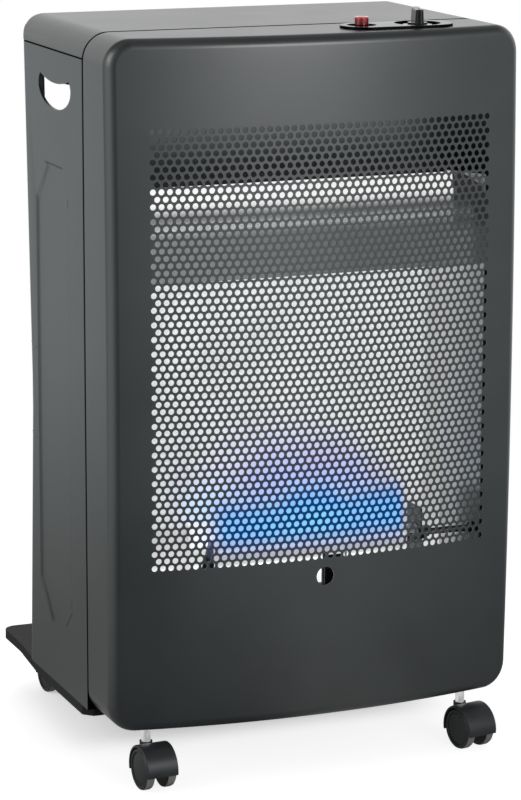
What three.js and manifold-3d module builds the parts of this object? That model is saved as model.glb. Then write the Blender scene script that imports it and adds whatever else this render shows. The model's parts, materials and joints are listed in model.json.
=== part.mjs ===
// Portable gas cabinet heater: a bow-fronted steel cabinet on four twin-wheel castors,
// with a blue-flame burner behind its perforated front and a bottle bay open at the rear.
// Millimetres, +Z up, front towards -Y. Depths (y) are counted from the foremost point of
// the front; the last lines centre the whole on the origin, with the floor at z = 0.

import * as THREE from 'three';
import { mergeGeometries, mergeVertices } from 'three/addons/utils/BufferGeometryUtils.js';
import Module from 'manifold-3d';

const wasm = await Module();
wasm.setup();

// ---------------------------------------------------------------- driving dimensions

const WIDTH = 420;
const DEPTH = 397;
const HALF = WIDTH / 2;
const SHEET = 1;
const GAP = 0.3;
const SEAM = 1.2;

const PAN_BOTTOM = 58.5;
const PAN_TOP = 721;
const PAN_DEPTH = 94.8;
const PAN_CORNER = 26;
const PAN_FILLET = 10;
const PAN_FLANGE = 9;
const BOW_RADIUS = 917;
const DOME = 5.5;
const WINDOW = { half: 176.5, bottom: 216, top: 642 };
const LIGHTING_HOLE = { x: 0, z: 201, r: 8.7 };
const HOLE_PITCH = 31.9;
const HOLE_RADIUS = 15.4;

const COVER_REAR = 289.3;
const COVER_EDGE = 697.3;
const REAR_BEND = 18;
const REAR_FLANGE = 7;
const FRONT_FLANGE = 18;
const SIDE_TOP = COVER_EDGE - SEAM;
const SIDE_FRONT = PAN_DEPTH + SEAM;
const SIDE_REAR = 288.5;
const SIDE_WAIST = { z: 345, y: 272.5 };
const SIDE_RETURN = 14;
const HANDLE = { y: 179.5, z: 661, half: 48.3, drop: 21.2, horn: 28, sag: 6.2 };
const HANDLE_COLLAR = 3;
const SWAGE = { front: 141, rear: 240, bottom: 122, top: 586, chamfer: 26, slope: 2, depth: 1.5 };

const BASE_TOP = 62.4;
const BASE_SHEET = 1.5;
const LIP_BOTTOM = 53;
const BASE_FRONT = 104;
const BASE_TAPER = { start: 250, end: 333, half: 203 };
const BOTTLE_PAD = { y: 245, r: 120, rise: 1 };
const TONGUE = { front: 38, half: 178, z: PAN_BOTTOM + SHEET + GAP };

const BULKHEAD = { y: SIDE_FRONT + SHEET + GAP, half: 206, top: 714, corner: 22, sheet: 1.2 };
const FIREBOX = { back: 88, backHalf: 160, front: 34, frontHalf: 190, floor: 181.5, top: 575 };
const SHROUD_TOP = 649;
const DEFLECTOR = { y: 34, bottom: 490, bend: 43 };
const FLOOR_SHEET = 1;

const BURNER = { left: -97, right: 105, y: 54, z: 220, r: 14 };
const PILOT = { y: 36, flame: 22, electrode: 36, thermocouple: 13.5, bottom: FIREBOX.floor + GAP };
const GAS_LEVEL = 688;
const VALVE_FOOT = 681;

const PLATE = { left: 33, right: 146, y: 50, half: 24.5, z: PAN_TOP + GAP, sheet: 2.3 };
const KNOB = { x: 111.3, y: 50, angle: -17, recess: 22.2, skirt: 14, bottom: 722.4, top: 737.5 };
const SPINDLE_R = 4;
const BUTTON = { x: 53.3, y: 50, r: 6.75, recess: 14, top: 731.6 };

const WHEEL_R = 20.3;
const WHEEL_INNER = 6.8;
const WHEEL_OUTER = 15.8;
const HOOD_R = 23.7;
const HOOD_WALL = 2.3;
const HOOD_SKIRT = 24;
const TRAIL = 18;
const STEM_R = 4.5;
const COLLAR_TOP = 42;
const CASTORS = {
  front_left: { x: -167.5, y: 47.5, turn: 4 },
  front_right: { x: 167.5, y: 47.5, turn: 10 },
  rear_left: { x: -157, y: 372, turn: 4 },
  rear_right: { x: 157, y: 372, turn: 4 },
};

// ---------------------------------------------------------------- finishes

const FINISH = {
  paint: { color: 0x55595a, roughness: 0.42, metalness: 0.25 },
  darkPaint: { color: 0x2c2e2f, roughness: 0.55, metalness: 0.2 },
  aluminised: { color: 0xc9ccce, roughness: 0.3, metalness: 0.9 },
  galvanised: { color: 0x8f9498, roughness: 0.45, metalness: 0.85 },
  brass: { color: 0xb08d4a, roughness: 0.35, metalness: 0.95 },
  chrome: { color: 0xd9dcde, roughness: 0.12, metalness: 1 },
  copper: { color: 0xb5714f, roughness: 0.4, metalness: 0.95 },
  ceramic: { color: 0xe8e4da, roughness: 0.5, metalness: 0 },
  blackPlastic: { color: 0x17191b, roughness: 0.4, metalness: 0 },
  redPlastic: { color: 0xb3141c, roughness: 0.2, metalness: 0 },
  silicone: { color: 0xa8261f, roughness: 0.6, metalness: 0 },
};

// ---------------------------------------------------------------- solids and placing

const heater = new THREE.Group();

// A closed geometry as a solid that can be joined and cut.
function solid(geometry) {
  const bare = geometry.clone();
  bare.deleteAttribute('normal');
  bare.deleteAttribute('uv');
  const welded = mergeVertices(bare, 1e-4);
  return new wasm.Manifold(new wasm.Mesh({
    numProp: 3,
    vertProperties: new Float32Array(welded.attributes.position.array),
    triVerts: new Uint32Array(welded.index.array),
  }));
}

function geometryOf(body) {
  const { vertProperties, triVerts } = body.getMesh();
  const geometry = new THREE.BufferGeometry();
  geometry.setAttribute('position', new THREE.BufferAttribute(vertProperties, 3));
  geometry.setIndex(new THREE.BufferAttribute(triVerts, 1));
  geometry.computeVertexNormals();
  return geometry;
}

function add(name, shape, finish, parent = heater) {
  const geometry = shape.isBufferGeometry ? shape : geometryOf(shape);
  const mesh = new THREE.Mesh(geometry, new THREE.MeshStandardMaterial(FINISH[finish]));
  mesh.name = name;
  parent.add(mesh);
  return mesh;
}

function extrude(shape, length, curveSegments = 6) {
  return new THREE.ExtrudeGeometry(shape, { depth: length, bevelEnabled: false, curveSegments });
}

// An outline in X and Y, pushed up from z0 to z1.
function alongZ(shape, z0, z1, curveSegments) {
  return solid(extrude(shape, z1 - z0, curveSegments).translate(0, 0, z0));
}

// An outline in X and Z, pushed from depth y0 to y1.
function alongY(shape, y0, y1, curveSegments) {
  const geometry = extrude(shape, y1 - y0, curveSegments);
  return solid(geometry.rotateX(Math.PI / 2).translate(0, y1, 0));
}

// An outline in Y and Z, pushed from x0 to x1.
function alongX(shape, x0, x1, curveSegments) {
  const turn = new THREE.Matrix4().makeBasis(
    new THREE.Vector3(0, 1, 0), new THREE.Vector3(0, 0, 1), new THREE.Vector3(1, 0, 0));
  return solid(extrude(shape, x1 - x0, curveSegments).applyMatrix4(turn).translate(x0, 0, 0));
}

function outline(points) {
  return new THREE.Shape(points.map(([u, v]) => new THREE.Vector2(u, v)));
}

function rectangle(u0, v0, u1, v1) {
  return outline([[u0, v0], [u1, v0], [u1, v1], [u0, v1]]);
}

function disc(u, v, r) {
  return new THREE.Shape().absarc(u, v, r, 0, 2 * Math.PI, false);
}

// A profile of [radius, height] pairs turned about a vertical axis at x, y.
function turned(profile, x = 0, y = 0, segments = 16) {
  const points = profile.map(([r, h]) => new THREE.Vector2(r, h));
  return new THREE.LatheGeometry(points, segments).rotateX(Math.PI / 2).translate(x, y, 0);
}

// The same profile turned about an axis along X, its heights counted from x.
function turnedAlongX(profile, x, y, z, segments = 16) {
  return turned(profile, 0, 0, segments).rotateY(Math.PI / 2).translate(x, y, z);
}

// And about an axis along Y.
function turnedAlongY(profile, x, y, z, segments = 16) {
  return turned(profile, 0, 0, segments).rotateX(-Math.PI / 2).translate(x, y, z);
}

// A strip of sheet metal that follows a line of [u, v] points.
function strip(points, thickness) {
  const line = points.map(([u, v]) => new THREE.Vector2(u, v));
  const edge = line.map((point, i) => {
    const before = line[Math.max(i - 1, 0)];
    const after = line[Math.min(i + 1, line.length - 1)];
    const normalIn = point.clone().sub(i > 0 ? before : after).normalize();
    const normalOut = after.clone().sub(i < line.length - 1 ? point : before).normalize();
    if (i === 0) normalIn.copy(normalOut);
    if (i === line.length - 1) normalOut.copy(normalIn);
    const mitre = normalIn.clone().add(normalOut).normalize();
    const scale = thickness / mitre.dot(normalIn);
    return new THREE.Vector2(point.x - mitre.y * scale, point.y + mitre.x * scale);
  });
  return new THREE.Shape([...line, ...edge.reverse()]);
}

function arcPoints(u, v, r, from, to, steps) {
  return Array.from({ length: steps + 1 }, (_, i) => {
    const a = THREE.MathUtils.degToRad(from + (to - from) * i / steps);
    return [u + r * Math.cos(a), v + r * Math.sin(a)];
  });
}

// A closed solid from loose triangles, turned right side out.
function shellOf(triangles) {
  let volume = 0;
  for (const [a, b, c] of triangles) volume += a.dot(new THREE.Vector3().crossVectors(b, c));
  const facing = volume > 0 ? triangles : triangles.map(([a, b, c]) => [a, c, b]);
  const geometry = new THREE.BufferGeometry().setFromPoints(facing.flat());
  return solid(geometry);
}

function quad(triangles, a, b, c, d) {
  triangles.push([a, b, c], [a, c, d]);
}

// A solid through matching outlines: place(u, v, i) puts a point of outline i in space.
function loft(outlines, place) {
  const loops = outlines.map((points, i) => points.map(([u, v]) => place(u, v, i)));
  const triangles = [];
  for (let i = 0; i + 1 < loops.length; i++) {
    loops[i].forEach((point, k) => {
      const next = (k + 1) % loops[i].length;
      quad(triangles, point, loops[i][next], loops[i + 1][next], loops[i + 1][k]);
    });
  }
  const flat = outlines[0].map(([u, v]) => new THREE.Vector2(u, v));
  const last = loops.length - 1;
  for (const [a, b, c] of THREE.ShapeUtils.triangulateShape(flat, [])) {
    const cap = THREE.ShapeUtils.area(flat) > 0 ? [a, b, c] : [a, c, b];
    triangles.push(cap.map((k) => loops[last][k]));
    triangles.push(cap.reverse().map((k) => loops[0][k]));
  }
  return shellOf(triangles);
}

// A path through given points, swept from point to point.
class Polyline extends THREE.Curve {
  constructor(points) {
    super();
    this.points = points;
  }

  getUtoTmapping(u) {
    return u;
  }

  getPoint(t) {
    const at = t * (this.points.length - 1);
    const i = Math.min(Math.floor(at), this.points.length - 2);
    return this.points[i].clone().lerp(this.points[i + 1], at - i);
  }

  getTangent(t) {
    const i = Math.round(t * (this.points.length - 1));
    const before = this.points[Math.max(i - 1, 0)];
    const after = this.points[Math.min(i + 1, this.points.length - 1)];
    const into = this.points[i].clone().sub(before).normalize();
    const out = after.clone().sub(this.points[i]).normalize();
    return into.add(out).normalize();
  }
}

// A round pipe or wire along straight runs joined by bends.
function routed(route, radius, bend, sides = 8) {
  const corners = route.map((point) => new THREE.Vector3(...point));
  const points = [corners[0]];
  for (let i = 1; i + 1 < corners.length; i++) {
    const into = corners[i].clone().sub(corners[i - 1]).setLength(bend);
    const out = corners[i + 1].clone().sub(corners[i]).setLength(bend);
    const entry = corners[i].clone().sub(into);
    const exit = corners[i].clone().add(out);
    points.push(...new THREE.QuadraticBezierCurve3(entry, corners[i], exit).getPoints(3));
  }
  points.push(corners[corners.length - 1]);
  const section = outline(arcPoints(0, 0, radius, 0, 360 - 360 / sides, sides - 1));
  return new THREE.ExtrudeGeometry(section, {
    extrudePath: new Polyline(points),
    steps: points.length - 1,
    bevelEnabled: false,
  });
}

// ---------------------------------------------------------------- the bowed front

// Depth of the front surface: an upright bow across, with a slight dome from top to bottom.
function face(x, z) {
  const middle = (PAN_TOP + PAN_BOTTOM) / 2;
  const rise = (z - middle) / (PAN_TOP - middle);
  return BOW_RADIUS - Math.sqrt(BOW_RADIUS ** 2 - x ** 2) + DOME * rise ** 2;
}

const ARC_STEPS = 5;
const TOP_STEPS = 10;
const SIDE_STEPS = 6;
const FILLET_STEPS = 3;

// Upright lines of the pan's face: [x, lowest z, highest z], the outline drawn in by inset.
function panColumns(inset) {
  const half = HALF - PAN_CORNER;
  const low = PAN_BOTTOM + PAN_CORNER;
  const high = PAN_TOP - PAN_CORNER;
  const corner = arcPoints(0, 0, PAN_CORNER - inset, 180, 90, ARC_STEPS);
  const columns = corner.map(([u, v]) => [-half + u, low - v, high + v]);
  for (let i = 1; i < TOP_STEPS; i++) {
    columns.push([-half + 2 * half * i / TOP_STEPS, low - PAN_CORNER + inset, high + PAN_CORNER - inset]);
  }
  corner.reverse().forEach(([u, v]) => columns.push([half - u, low - v, high + v]));
  return columns;
}

// The outline as a closed ring of points, its depth given by depthAt(x, z).
function panRing(inset, depthAt) {
  const columns = panColumns(inset);
  const ring = columns.map(([x, low]) => [x, low]);
  const [right, low, high] = columns[columns.length - 1];
  for (let j = 1; j < SIDE_STEPS; j++) ring.push([right, low + (high - low) * j / SIDE_STEPS]);
  columns.slice().reverse().forEach(([x, , top]) => ring.push([x, top]));
  for (let j = 1; j < SIDE_STEPS; j++) ring.push([-right, high - (high - low) * j / SIDE_STEPS]);
  return ring.map(([x, z]) => new THREE.Vector3(x, depthAt(x, z), z));
}

function faceGrid(triangles, columns, offset, inward) {
  const point = (i, j) => {
    const [x, low, high] = columns[i];
    const z = low + (high - low) * j / SIDE_STEPS;
    return new THREE.Vector3(x, face(x, z) + offset, z);
  };
  for (let i = 0; i + 1 < columns.length; i++) {
    for (let j = 0; j < SIDE_STEPS; j++) {
      const corners = [point(i, j), point(i + 1, j), point(i + 1, j + 1), point(i, j + 1)];
      quad(triangles, ...(inward ? corners.reverse() : corners));
    }
  }
}

function panShell() {
  const rings = [];
  const fillet = (inside, step) => {
    const a = (Math.PI / 2) * step / FILLET_STEPS;
    const r = PAN_FILLET - inside;
    const inset = PAN_FILLET - r * Math.cos(a);
    return panRing(inset, (x, z) => face(x, z) + PAN_FILLET - r * Math.sin(a));
  };
  for (let step = FILLET_STEPS; step >= 0; step--) rings.push(fillet(0, step));
  rings.push(panRing(0, () => PAN_DEPTH));
  rings.push(panRing(PAN_FLANGE, () => PAN_DEPTH));
  rings.push(panRing(PAN_FLANGE, () => PAN_DEPTH - SHEET));
  rings.push(panRing(SHEET, () => PAN_DEPTH - SHEET));
  for (let step = 0; step <= FILLET_STEPS; step++) rings.push(fillet(SHEET, step));
  const triangles = [];
  for (let i = 0; i + 1 < rings.length; i++) {
    rings[i].forEach((point, k) => {
      const next = (k + 1) % rings[i].length;
      quad(triangles, point, rings[i + 1][k], rings[i + 1][next], rings[i][next]);
    });
  }
  faceGrid(triangles, panColumns(PAN_FILLET), 0, false);
  faceGrid(triangles, panColumns(PAN_FILLET), SHEET, true);
  return shellOf(triangles);
}

function frontPanel() {
  const { half, bottom, top } = WINDOW;
  const { front_left: left, front_right: right } = CASTORS;
  let panel = panShell();
  panel = panel.subtract(alongY(rectangle(-half, bottom, half, top), -5, 45));
  panel = panel.subtract(alongY(disc(LIGHTING_HOLE.x, LIGHTING_HOLE.z, LIGHTING_HOLE.r), -5, 12, 8));
  panel = panel.subtract(alongZ(disc(KNOB.x, KNOB.y, KNOB.recess + 1.4), 715, 725, 10));
  panel = panel.subtract(alongZ(disc(BUTTON.x, BUTTON.y, BUTTON.recess + 2), 715, 725, 8));
  const doorway = rectangle(-TONGUE.half - 2, PAN_BOTTOM + SHEET, TONGUE.half + 2, BASE_TOP + 8);
  panel = panel.subtract(alongY(doorway, PAN_DEPTH - 5, PAN_DEPTH + 5));
  panel = panel.subtract(alongZ(disc(left.x, left.y, STEM_R + 0.6), 55, 62, 5));
  panel = panel.subtract(alongZ(disc(right.x, right.y, STEM_R + 0.6), 55, 62, 5));
  return panel;
}

// A rectangle of the bowed face as sheet, front and back following the same surface.
function bowedSheet(half, bottom, top, columns, rows) {
  const triangles = [];
  const at = (i, j, offset) => {
    const x = -half + 2 * half * i / columns;
    const z = bottom + (top - bottom) * j / rows;
    return new THREE.Vector3(x, face(x, z) + offset, z);
  };
  for (let i = 0; i < columns; i++) {
    for (let j = 0; j < rows; j++) {
      quad(triangles, at(i, j, 0), at(i + 1, j, 0), at(i + 1, j + 1, 0), at(i, j + 1, 0));
      quad(triangles, at(i, j, SHEET), at(i, j + 1, SHEET), at(i + 1, j + 1, SHEET), at(i + 1, j, SHEET));
    }
    quad(triangles, at(i, 0, 0), at(i, 0, SHEET), at(i + 1, 0, SHEET), at(i + 1, 0, 0));
    quad(triangles, at(i, rows, 0), at(i + 1, rows, 0), at(i + 1, rows, SHEET), at(i, rows, SHEET));
  }
  for (let j = 0; j < rows; j++) {
    quad(triangles, at(0, j, 0), at(0, j + 1, 0), at(0, j + 1, SHEET), at(0, j, SHEET));
    quad(triangles, at(columns, j, 0), at(columns, j, SHEET), at(columns, j + 1, SHEET), at(columns, j + 1, 0));
  }
  return shellOf(triangles);
}

// The perforated field of the front: staggered six-sided holes that fill the window.
function guardScreen() {
  const half = WINDOW.half - GAP;
  const bottom = WINDOW.bottom + GAP;
  const top = WINDOW.top - GAP;
  const rowStep = HOLE_PITCH * Math.sqrt(3) / 2;
  const rows = Math.floor((top - bottom - 2 * HOLE_RADIUS - 6) / rowStep) + 1;
  const firstRow = (bottom + top - (rows - 1) * rowStep) / 2;
  const punches = [];
  for (let j = 0; j < rows; j++) {
    const count = j % 2 ? 10 : 11;
    for (let i = 0; i < count; i++) {
      const punch = new THREE.CylinderGeometry(HOLE_RADIUS, HOLE_RADIUS, 60, 6);
      punches.push(punch.translate((i - (count - 1) / 2) * HOLE_PITCH, 20, firstRow + j * rowStep));
    }
  }
  return bowedSheet(half, bottom, top, 10, 6).subtract(solid(mergeGeometries(punches)));
}

// ---------------------------------------------------------------- cabinet

function coverProfile(half, top, corner, bottom) {
  const shape = new THREE.Shape();
  shape.moveTo(-half, bottom);
  shape.lineTo(half, bottom);
  shape.lineTo(half, top - corner);
  shape.absarc(half - corner, top - corner, corner, 0, Math.PI / 2, false);
  shape.absarc(-half + corner, top - corner, corner, Math.PI / 2, Math.PI, false);
  return shape;
}

function coverPlan(half, front, rear, corner) {
  const shape = new THREE.Shape();
  shape.moveTo(-half, front);
  shape.lineTo(half, front);
  shape.lineTo(half, rear - corner);
  shape.absarc(half - corner, rear - corner, corner, 0, Math.PI / 2, false);
  shape.absarc(-half + corner, rear - corner, corner, Math.PI / 2, Math.PI, false);
  return shape;
}

// The lid: over the top, round both upper corners and down behind, with a turned-down front edge.
function topCover() {
  const form = (inset, front, bottom) => {
    const across = coverProfile(HALF - inset, PAN_TOP - inset, PAN_CORNER - inset, bottom - 10);
    const plan = coverPlan(HALF - inset, front, COVER_REAR - inset, REAR_BEND - inset);
    return alongY(across, front, COVER_REAR).intersect(alongZ(plan, bottom, PAN_TOP + 5));
  };
  const outside = form(0, SIDE_FRONT, COVER_EDGE);
  const inside = form(SHEET, SIDE_FRONT + SHEET, COVER_EDGE - 5);
  const mouth = coverProfile(HALF - PAN_FLANGE, PAN_TOP - PAN_FLANGE, PAN_CORNER - PAN_FLANGE, 600);
  return outside.subtract(inside).subtract(alongY(mouth, SIDE_FRONT - 5, SIDE_FRONT + 5));
}

// A smile: an ellipse up to its two horns, closed by a shallow arc; grow widens it all round.
function handleOutline(grow) {
  const { y, z, half, drop, horn, sag } = HANDLE;
  const lower = Array.from({ length: 17 }, (_, i) => {
    const a = THREE.MathUtils.degToRad(180 - horn + (180 + 2 * horn) * i / 16);
    return [y + (half + grow) * Math.cos(a), z + (drop + grow) * Math.sin(a)];
  });
  const hornHalf = half * Math.cos(THREE.MathUtils.degToRad(horn));
  const tip = z + drop * Math.sin(THREE.MathUtils.degToRad(horn));
  const upper = (hornHalf ** 2 + sag ** 2) / (2 * sag);
  const end = THREE.MathUtils.radToDeg(Math.asin(hornHalf / upper));
  return outline([...lower, ...arcPoints(y, tip - sag + upper, upper - grow, -90 + end, -90 - end, 8)]);
}

function swageOutline(grow) {
  const front = SWAGE.front - grow;
  const rear = SWAGE.rear + grow;
  const bottom = SWAGE.bottom - grow;
  const top = SWAGE.top + grow;
  const cut = SWAGE.chamfer + grow * (2 - Math.SQRT2);
  return [[front + cut, bottom], [rear - cut, bottom], [rear, bottom + cut], [rear, top - cut],
    [rear - cut, top], [front + cut, top], [front, top - cut], [front, bottom + cut]];
}

// The turned-in top edge of a side wall, round its rear bend.
function sideReturn(side) {
  const front = BULKHEAD.y + BULKHEAD.sheet + GAP;
  const centre = SIDE_REAR - REAR_BEND;
  const end = REAR_BEND + REAR_FLANGE;
  const plan = [[SIDE_RETURN, front], [SHEET / 2, front],
    ...arcPoints(REAR_BEND, centre, REAR_BEND - SHEET / 2, 180, 90, 5), [end, SIDE_REAR - SHEET / 2],
    [end, SIDE_REAR - SIDE_RETURN], ...arcPoints(REAR_BEND, centre, REAR_BEND - SIDE_RETURN, 90, 180, 3)];
  const placed = plan.map(([u, y]) => [side * (HALF - u), y]);
  return alongZ(outline(placed), SIDE_TOP - SHEET, SIDE_TOP);
}

// A side wall of the cabinet: turned in at the front and the top, round a bend at the rear that is
// waisted at mid-height, with a carrying cut-out and a pressed field.
function sidePanel(side) {
  const section = (rear) => [
    [FRONT_FLANGE, SIDE_FRONT], [0, SIDE_FRONT],
    ...arcPoints(REAR_BEND, rear - REAR_BEND, REAR_BEND, 180, 90, 5),
    [REAR_BEND + REAR_FLANGE, rear], [REAR_BEND + REAR_FLANGE, rear - SHEET],
    ...arcPoints(REAR_BEND, rear - REAR_BEND, REAR_BEND - SHEET, 90, 180, 5),
    [SHEET, SIDE_FRONT + SHEET], [FRONT_FLANGE, SIDE_FRONT + SHEET],
  ];
  const levels = [BASE_TOP + GAP, SIDE_WAIST.z, SIDE_TOP];
  const rears = [SIDE_REAR, SIDE_WAIST.y, SIDE_REAR];
  const outer = (u) => side * (HALF - u);
  const across = (shape, u0, u1, segments) => {
    const ends = [outer(u0), outer(u1)].sort((a, b) => a - b);
    return alongX(shape, ends[0], ends[1], segments);
  };
  const pressed = (u0, u1, grow) => loft(
    [swageOutline(grow), swageOutline(grow - SWAGE.slope)],
    (y, z, i) => new THREE.Vector3(outer(i ? u1 : u0), y, z));
  let panel = loft(rears.map(section), (u, y, i) => new THREE.Vector3(outer(u), y, levels[i]));
  panel = panel.add(sideReturn(side));
  panel = panel.add(pressed(0.5, SWAGE.depth + SHEET, 1));
  panel = panel.subtract(pressed(-0.01, SWAGE.depth, 0));
  panel = panel.add(across(handleOutline(SHEET), 0.5, HANDLE_COLLAR));
  return panel.subtract(across(handleOutline(0), -1, HANDLE_COLLAR + 1));
}

// Channel strip on the rear flange of a side wall, at its waist.
function retainingStrip(side) {
  const inner = side * 187;
  const outer = side * 204;
  const [x0, x1] = [inner, outer].sort((a, b) => a - b);
  const plan = rectangle(x0, SIDE_WAIST.y + 2.7, x1, SIDE_WAIST.y + 4.7);
  const lip = rectangle(x0, SIDE_WAIST.y + 2.7, x1, SIDE_WAIST.y + 7);
  return alongZ(plan, 301, 395).add(alongZ(lip, 301, 302.5)).add(alongZ(lip, 393.5, 395));
}

function basePlan(inset) {
  const half = HALF - inset;
  const narrow = BASE_TAPER.half - inset;
  const rear = DEPTH - inset;
  const corner = 14 - inset;
  const shape = new THREE.Shape();
  shape.moveTo(-half + 9, BASE_FRONT + inset);
  shape.lineTo(half - 9, BASE_FRONT + inset);
  shape.lineTo(half, BASE_FRONT + 9 + inset);
  shape.lineTo(half, BASE_TAPER.start);
  shape.lineTo(narrow, BASE_TAPER.end);
  shape.lineTo(narrow, rear - corner);
  shape.absarc(narrow - corner, rear - corner, corner, 0, Math.PI / 2, false);
  shape.absarc(-narrow + corner, rear - corner, corner, Math.PI / 2, Math.PI, false);
  shape.lineTo(-narrow, BASE_TAPER.end);
  shape.lineTo(-half, BASE_TAPER.start);
  shape.lineTo(-half, BASE_FRONT + 9 + inset);
  return shape;
}

// The tray with a raised pad that the bottle stands on, its edge turned down, and with a tongue
// inside the front panel.
function basePlate() {
  const tray = alongZ(basePlan(0), LIP_BOTTOM, BASE_TOP);
  const hollow = alongZ(basePlan(BASE_SHEET), LIP_BOTTOM - 5, BASE_TOP - BASE_SHEET);
  const tongue = rectangle(-TONGUE.half, TONGUE.front, TONGUE.half, BASE_FRONT + 3);
  const pad = disc(0, BOTTLE_PAD.y, BOTTLE_PAD.r);
  let plate = tray.subtract(hollow)
    .add(alongZ(tongue, TONGUE.z, TONGUE.z + BASE_SHEET))
    .add(alongZ(pad, BASE_TOP - 0.5, BASE_TOP + BOTTLE_PAD.rise, 20));
  for (const { x, y } of Object.values(CASTORS)) {
    plate = plate.subtract(alongZ(disc(x, y, STEM_R + 0.6), LIP_BOTTOM, BASE_TOP + 5, 5));
  }
  return plate;
}

// The wall between burner and bottle, with rows of air slots.
function bulkhead() {
  const { y, half, top, corner, sheet } = BULKHEAD;
  let wall = alongY(coverProfile(half, top, corner, BASE_TOP + GAP), y, y + sheet);
  const slots = [];
  for (let x = -120; x <= 120; x += 30) slots.push([x, 84, 40]);
  for (let x = -120; x <= 60; x += 30) slots.push([x, 656, 32]);
  for (const [x, z, height] of slots) {
    wall = wall.subtract(alongY(rectangle(x - 4, z, x + 4, z + height), y - 5, y + 5));
  }
  return wall.subtract(alongY(disc(KNOB.x, GAS_LEVEL, 6.6), y - 5, y + 5, 8));
}

// ---------------------------------------------------------------- firebox

// Plan of the firebox between its side reflectors, drawn in by inset.
function fireboxPlan(inset, front, rear) {
  const { back, backHalf, frontHalf } = FIREBOX;
  const slope = (frontHalf - backHalf) / (back - FIREBOX.front);
  const halfAt = (y) => backHalf + slope * (back - y) - inset;
  return outline([[-halfAt(front), front], [halfAt(front), front],
    [halfAt(rear), rear], [-halfAt(rear), rear]]);
}

function backReflector() {
  const { back, backHalf, floor, top } = FIREBOX;
  const foot = floor + GAP;
  const profile = [[back - 10, foot], [back, foot], [back, top - 22], [back - 7, top - 1]];
  return alongX(strip(profile, 0.8), -backHalf + 1, backHalf - 1);
}

function sideReflector(side) {
  const { back, backHalf, front, frontHalf, floor, top } = FIREBOX;
  const line = [[side * (backHalf + 0.6), back - 0.6], [side * frontHalf, front], [side * (frontHalf + 7), front]];
  const wing = alongZ(strip(line, side * 0.8), floor + GAP, top);
  const port = alongX(disc(BURNER.y - 2, BURNER.z, 6.5), 150, 200, 6);
  return side > 0 ? wing.subtract(port) : wing;
}

// Hood above the flame: upright at the front, then curving back to the reflector.
function deflector() {
  const { y, bottom, bend } = DEFLECTOR;
  const elbow = FIREBOX.top - bend;
  const curve = arcPoints(y + bend, elbow, bend, 180, 92, 7);
  const profile = alongX(strip([[y, bottom], ...curve], -0.8), -200, 200);
  return profile.intersect(alongZ(fireboxPlan(1.2, y - 5, FIREBOX.back - 8.5), bottom - 5, FIREBOX.top + 5));
}

// Dark hood over the firebox that keeps heat off the controls.
function shroud() {
  const half = FIREBOX.frontHalf - 2;
  const foot = FIREBOX.top + GAP;
  const points = [[-half, foot], [-half, SHROUD_TOP], [half, SHROUD_TOP], [half, foot]];
  return alongY(strip(points, -SHEET), FIREBOX.front - 2, BULKHEAD.y - GAP);
}

function fireboxFloor() {
  const { floor } = FIREBOX;
  const rear = BULKHEAD.y - GAP;
  const plate = alongZ(fireboxPlan(3, 28, rear), floor - FLOOR_SHEET, floor);
  const flange = rectangle(-150, rear - FLOOR_SHEET, 150, rear);
  const well = rectangle(PILOT.thermocouple - 4, PILOT.y - 4, PILOT.electrode + 4, PILOT.y + 4);
  return plate.add(alongZ(flange, floor - 22, floor)).subtract(alongZ(well, floor - 5, floor + 5));
}

// ---------------------------------------------------------------- burner and pilot

// A closed tube with a row of flame slots along its crown.
function burnerTube() {
  const { left, right, y, z, r } = BURNER;
  const length = right - left;
  const profile = [[0, 0], [r - 3, 0], [r, 3], [r, length - 3], [r - 3, length], [0, length]];
  let tube = solid(turnedAlongX(profile, left, y, z, 18));
  const pitch = 11;
  for (let x = left + 14; x < right - 10; x += pitch) {
    tube = tube.subtract(alongX(rectangle(y - 6, z + r - 3, y + 6, z + r + 2), x, x + 3));
  }
  return tube;
}

// Upright at the burner's closed end, with a foot and a gusset.
function burnerStand() {
  const { left, y, z } = BURNER;
  const foot = FIREBOX.floor + GAP;
  const face = left - GAP;
  const upright = outline([[y - 11, foot], [y + 11, foot], [y + 5, z + 12], [y - 5, z + 12]]);
  const gusset = outline([[face - 16, foot + 1], [face - 1, foot + 1], [face - 1, z + 8], [face - 4, z + 8]]);
  return alongX(upright, face - 1.5, face)
    .add(alongZ(rectangle(face - 16, y - 11, face, y + 11), foot, foot + 1.5))
    .add(alongY(gusset, y - 1, y + 1));
}

function injectorBracket() {
  const { right, y, z } = BURNER;
  const x = right + 13.5;
  const foot = FIREBOX.floor + GAP;
  const plate = alongX(rectangle(y - 13, foot, y + 20, z + 28), x, x + 1.5);
  const step = alongZ(rectangle(x, y - 13, x + 14, y + 20), foot, foot + 1.5);
  return plate.add(step).subtract(alongX(disc(y, z, 5), x - 5, x + 5, 5));
}

function mixerTube() {
  const { right, y, z } = BURNER;
  const profile = [[7, 0], [9, 0], [9, 8], [10.5, 12.8], [8.7, 12.8], [7, 8]];
  const tube = solid(turnedAlongX([...profile, profile[0]], right + GAP, y, z, 14));
  return tube.subtract(alongX(rectangle(y - 12, z - 2.5, y + 12, z + 2.5), right + 2, right + 8));
}

function injector() {
  const { right, y, z } = BURNER;
  const profile = [[0, 0], [3, 0], [4.5, 3], [4.5, 8], [7, 8], [7, 16], [5, 16], [5, 20], [0, 20]];
  return turnedAlongX(profile, right + 7.3, y, z, 12);
}

function pilotBracket() {
  const { y, bottom } = PILOT;
  const left = PILOT.thermocouple - 4.5;
  const foot = alongZ(rectangle(left, 29, PILOT.electrode + 5, y + 8), bottom, bottom + 1.2);
  let bracket = foot.add(alongY(rectangle(left + 2, bottom, PILOT.flame + 6, 214), 29, 30));
  for (const x of [PILOT.flame, PILOT.electrode, PILOT.thermocouple]) {
    bracket = bracket.subtract(alongZ(disc(x, y, 3.3), bottom - 5, bottom + 5, 5));
  }
  return bracket;
}

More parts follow.
